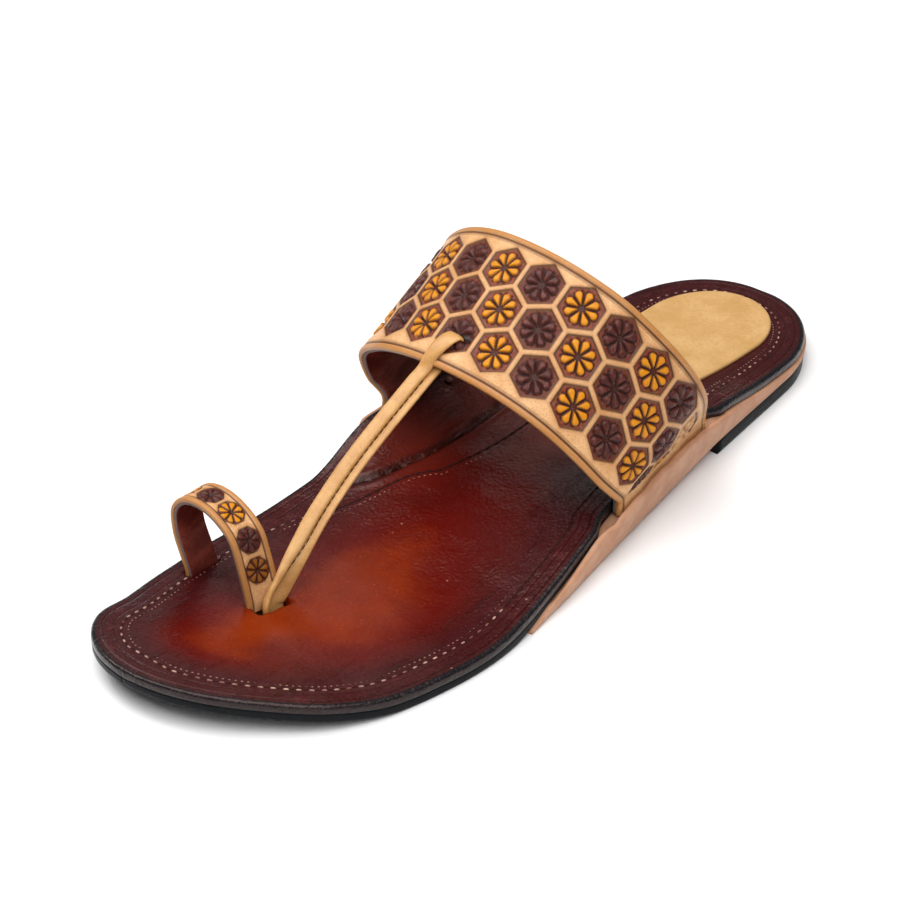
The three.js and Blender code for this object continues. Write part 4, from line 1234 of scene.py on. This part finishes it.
strap = Finish("folded_strap", 0.42, Specular_IOR_Level=0.4, Coat_Weight=0.1, Coat_Roughness=0.3)
mottle, pores = strap.noise(6.0, 4.0, 0.6), strap.noise(0.6, 4.0, 0.7)
strap.set("Base Color", strap.coats(
    STRAP_TAN, (mottle.over(0.3, 0.7), STRAP_DEEP), (pores.over(0.45, 0.75) * 0.45, STRAP_PORE)))
strap.relief((mottle, 0.2), (pores, 0.06))
strap.dress(upper, lower)

inside = Finish("lining_leather", 0.3, Specular_IOR_Level=0.3)
dyed = inside.field("inner")
streak = inside.noise(2.4, 5.0, 0.7, (1.0, 0.35, 0.5))
# The dyed tone is lifted as painted bounce light, since the lining lies in the band's shade.
tone = inside.mix(streak.over(0.4, 0.75), LINING_DARK_WITH_BOUNCE, LINING_LIGHT_WITH_BOUNCE)
felt = inside.mix(inside.noise(0.5, 4.0, 0.8), FELT_DARK, FELT_LIGHT)
inside.set("Base Color", inside.mix(dyed, felt, tone))
inside.set("Roughness", 0.75 - dyed * 0.48)
inside.relief((streak, 0.25), (inside.noise(0.6, 3.0), 0.06))
inside.dress(lining, loop_lining)

sock = Finish("heel_sock", 0.6, Specular_IOR_Level=0.3)
weave = sock.noise(0.45, 3.0, 0.7, (1.0, 0.3, 1.0)) + sock.noise(0.45, 3.0, 0.7, (0.3, 1.0, 1.0))
weave = weave * 0.5
mottle = sock.noise(12.0, 4.0, 0.6)
sock.set("Base Color", sock.coats(
    SOCK_TAN, (mottle.over(0.3, 0.7), SOCK_DEEP), (weave.over(0.46, 0.62) * 0.5, SOCK_THREAD)))
sock.relief((weave, 0.08))
sock.dress(pad)

# %% [markdown]
# The thread is pale where it lies open at toe and heel. In the waist it has sunk into the leather
# and is dark, while the fine dots beside it stay pale on the medial side.

# %% Thread and knot
THREAD_STAINED, THREAD_PALE, DOT_PALE = (0.14, 0.04, 0.03), (0.52, 0.33, 0.26), (0.32, 0.18, 0.14)
SHADOW, SHADOW_LIT = (0.01, 0.002, 0.002), (0.03, 0.006, 0.005)
KNOT_DARK, KNOT_LIGHT = (0.09, 0.022, 0.014), (0.2, 0.06, 0.035)

waxed = Finish("pale_thread", 0.45)
stained = waxed.noise(6.0, 4.0, 0.7)
waxed.set("Base Color", waxed.mix(stained.over(0.4, 0.62), THREAD_STAINED, THREAD_PALE))
waxed.dress(pale)
dark = Finish("stitch_shadow", 0.5, Specular_IOR_Level=0.12)
dark.set("Base Color", dark.mix(dark.noise(0.6), SHADOW, SHADOW_LIT))
dark.dress(pit_shade, seam_and_shadow, dark_thread)
knob = Finish("waxed_knot", 0.35, Coat_Weight=0.3)
knob.set("Base Color", knob.mix(knob.noise(1.0), KNOT_DARK, KNOT_LIGHT))
knob.dress(knot)
fine = Finish("fine_dots", 0.4)
across, along, _ = fine.axes()
shown = along.over(DULL_FROM + 8.0, DULL_FROM - 8.0) + along.over(DULL_TO, DULL_TO + 10.0)
shown = (shown + across.over(2.0, -6.0)).clip() * fine.noise(9.0, 4.0, 0.7).over(0.4, 0.54)
fine.set("Base Color", fine.mix(shown, SOOT, DOT_PALE))
fine.dress(dot_row)

# %% [markdown]
# The set is a pale floor under a dim white sky. One very large soft box overhead lights the whole
# shoe. A key and a fill lamp give the tooling its shape, and a small lamp from behind lays a sheen
# on the footbed.

# %% Floor and sky
FLOOR_REACH_M, SKY_STRENGTH = 6, 0.12

corners = [(-1, -1), (1, -1), (1, 1), (-1, 1)]
floor_mesh = bpy.data.meshes.new("floor")
floor_mesh.from_pydata([(x * FLOOR_REACH_M, y * FLOOR_REACH_M, 0) for x, y in corners], [],
                       [(0, 1, 2, 3)])
floor = bpy.data.objects.new("floor", floor_mesh)
bpy.context.collection.objects.link(floor)
paper = Finish("pale_paper", 0.7, Specular_IOR_Level=0.2)
paper.set("Base Color", (0.93, 0.93, 0.93))
paper.dress(floor)

world = bpy.data.worlds.new("dim_sky")
world.use_nodes = True
sky = world.node_tree.nodes["Background"].inputs
sky["Color"].default_value = (1.0, 1.0, 1.0, 1.0)
sky["Strength"].default_value = SKY_STRENGTH
bpy.context.scene.world = world
bpy.context.scene.view_settings.view_transform = "Standard"
print("floor", 2 * FLOOR_REACH_M, "m wide, sky strength", SKY_STRENGTH)


# %% Lamps
def lamp(name, place, aim, size, power):
    """A square soft lamp, turned from its place to what it lights."""
    light = bpy.data.lights.new(name, "AREA")
    light.shape, light.size, light.energy = "SQUARE", size * MM, power
    holder = bpy.data.objects.new(name, light)
    bpy.context.collection.objects.link(holder)
    z_axis = unit(np.array(place, float) - np.array(aim, float))
    x_axis = unit(np.cross([0.0, 0.0, 1.0], z_axis))
    frame_axes = np.eye(4)
    frame_axes[:3, :3] = np.stack([x_axis, np.cross(z_axis, x_axis), z_axis], 1)
    frame_axes[:3, 3] = np.array(place) * MM
    holder.matrix_world = Matrix(frame_axes.tolist())
    print(f"{name}: {size} mm wide, {power} W")


lamp("overhead_box", (200, -400, 1400), (200, -400.1, 0), 1650, 31.0)
lamp("key_lamp", (-700, -150, 900), (0, -20, 20), 500, 5.0)
lamp("fill_lamp", (800, -500, 800), (0, 0, 20), 500, 2.5)
lamp("sheen_lamp", (-850, 870, 800), (0, -75, 8), 330, 0.35)
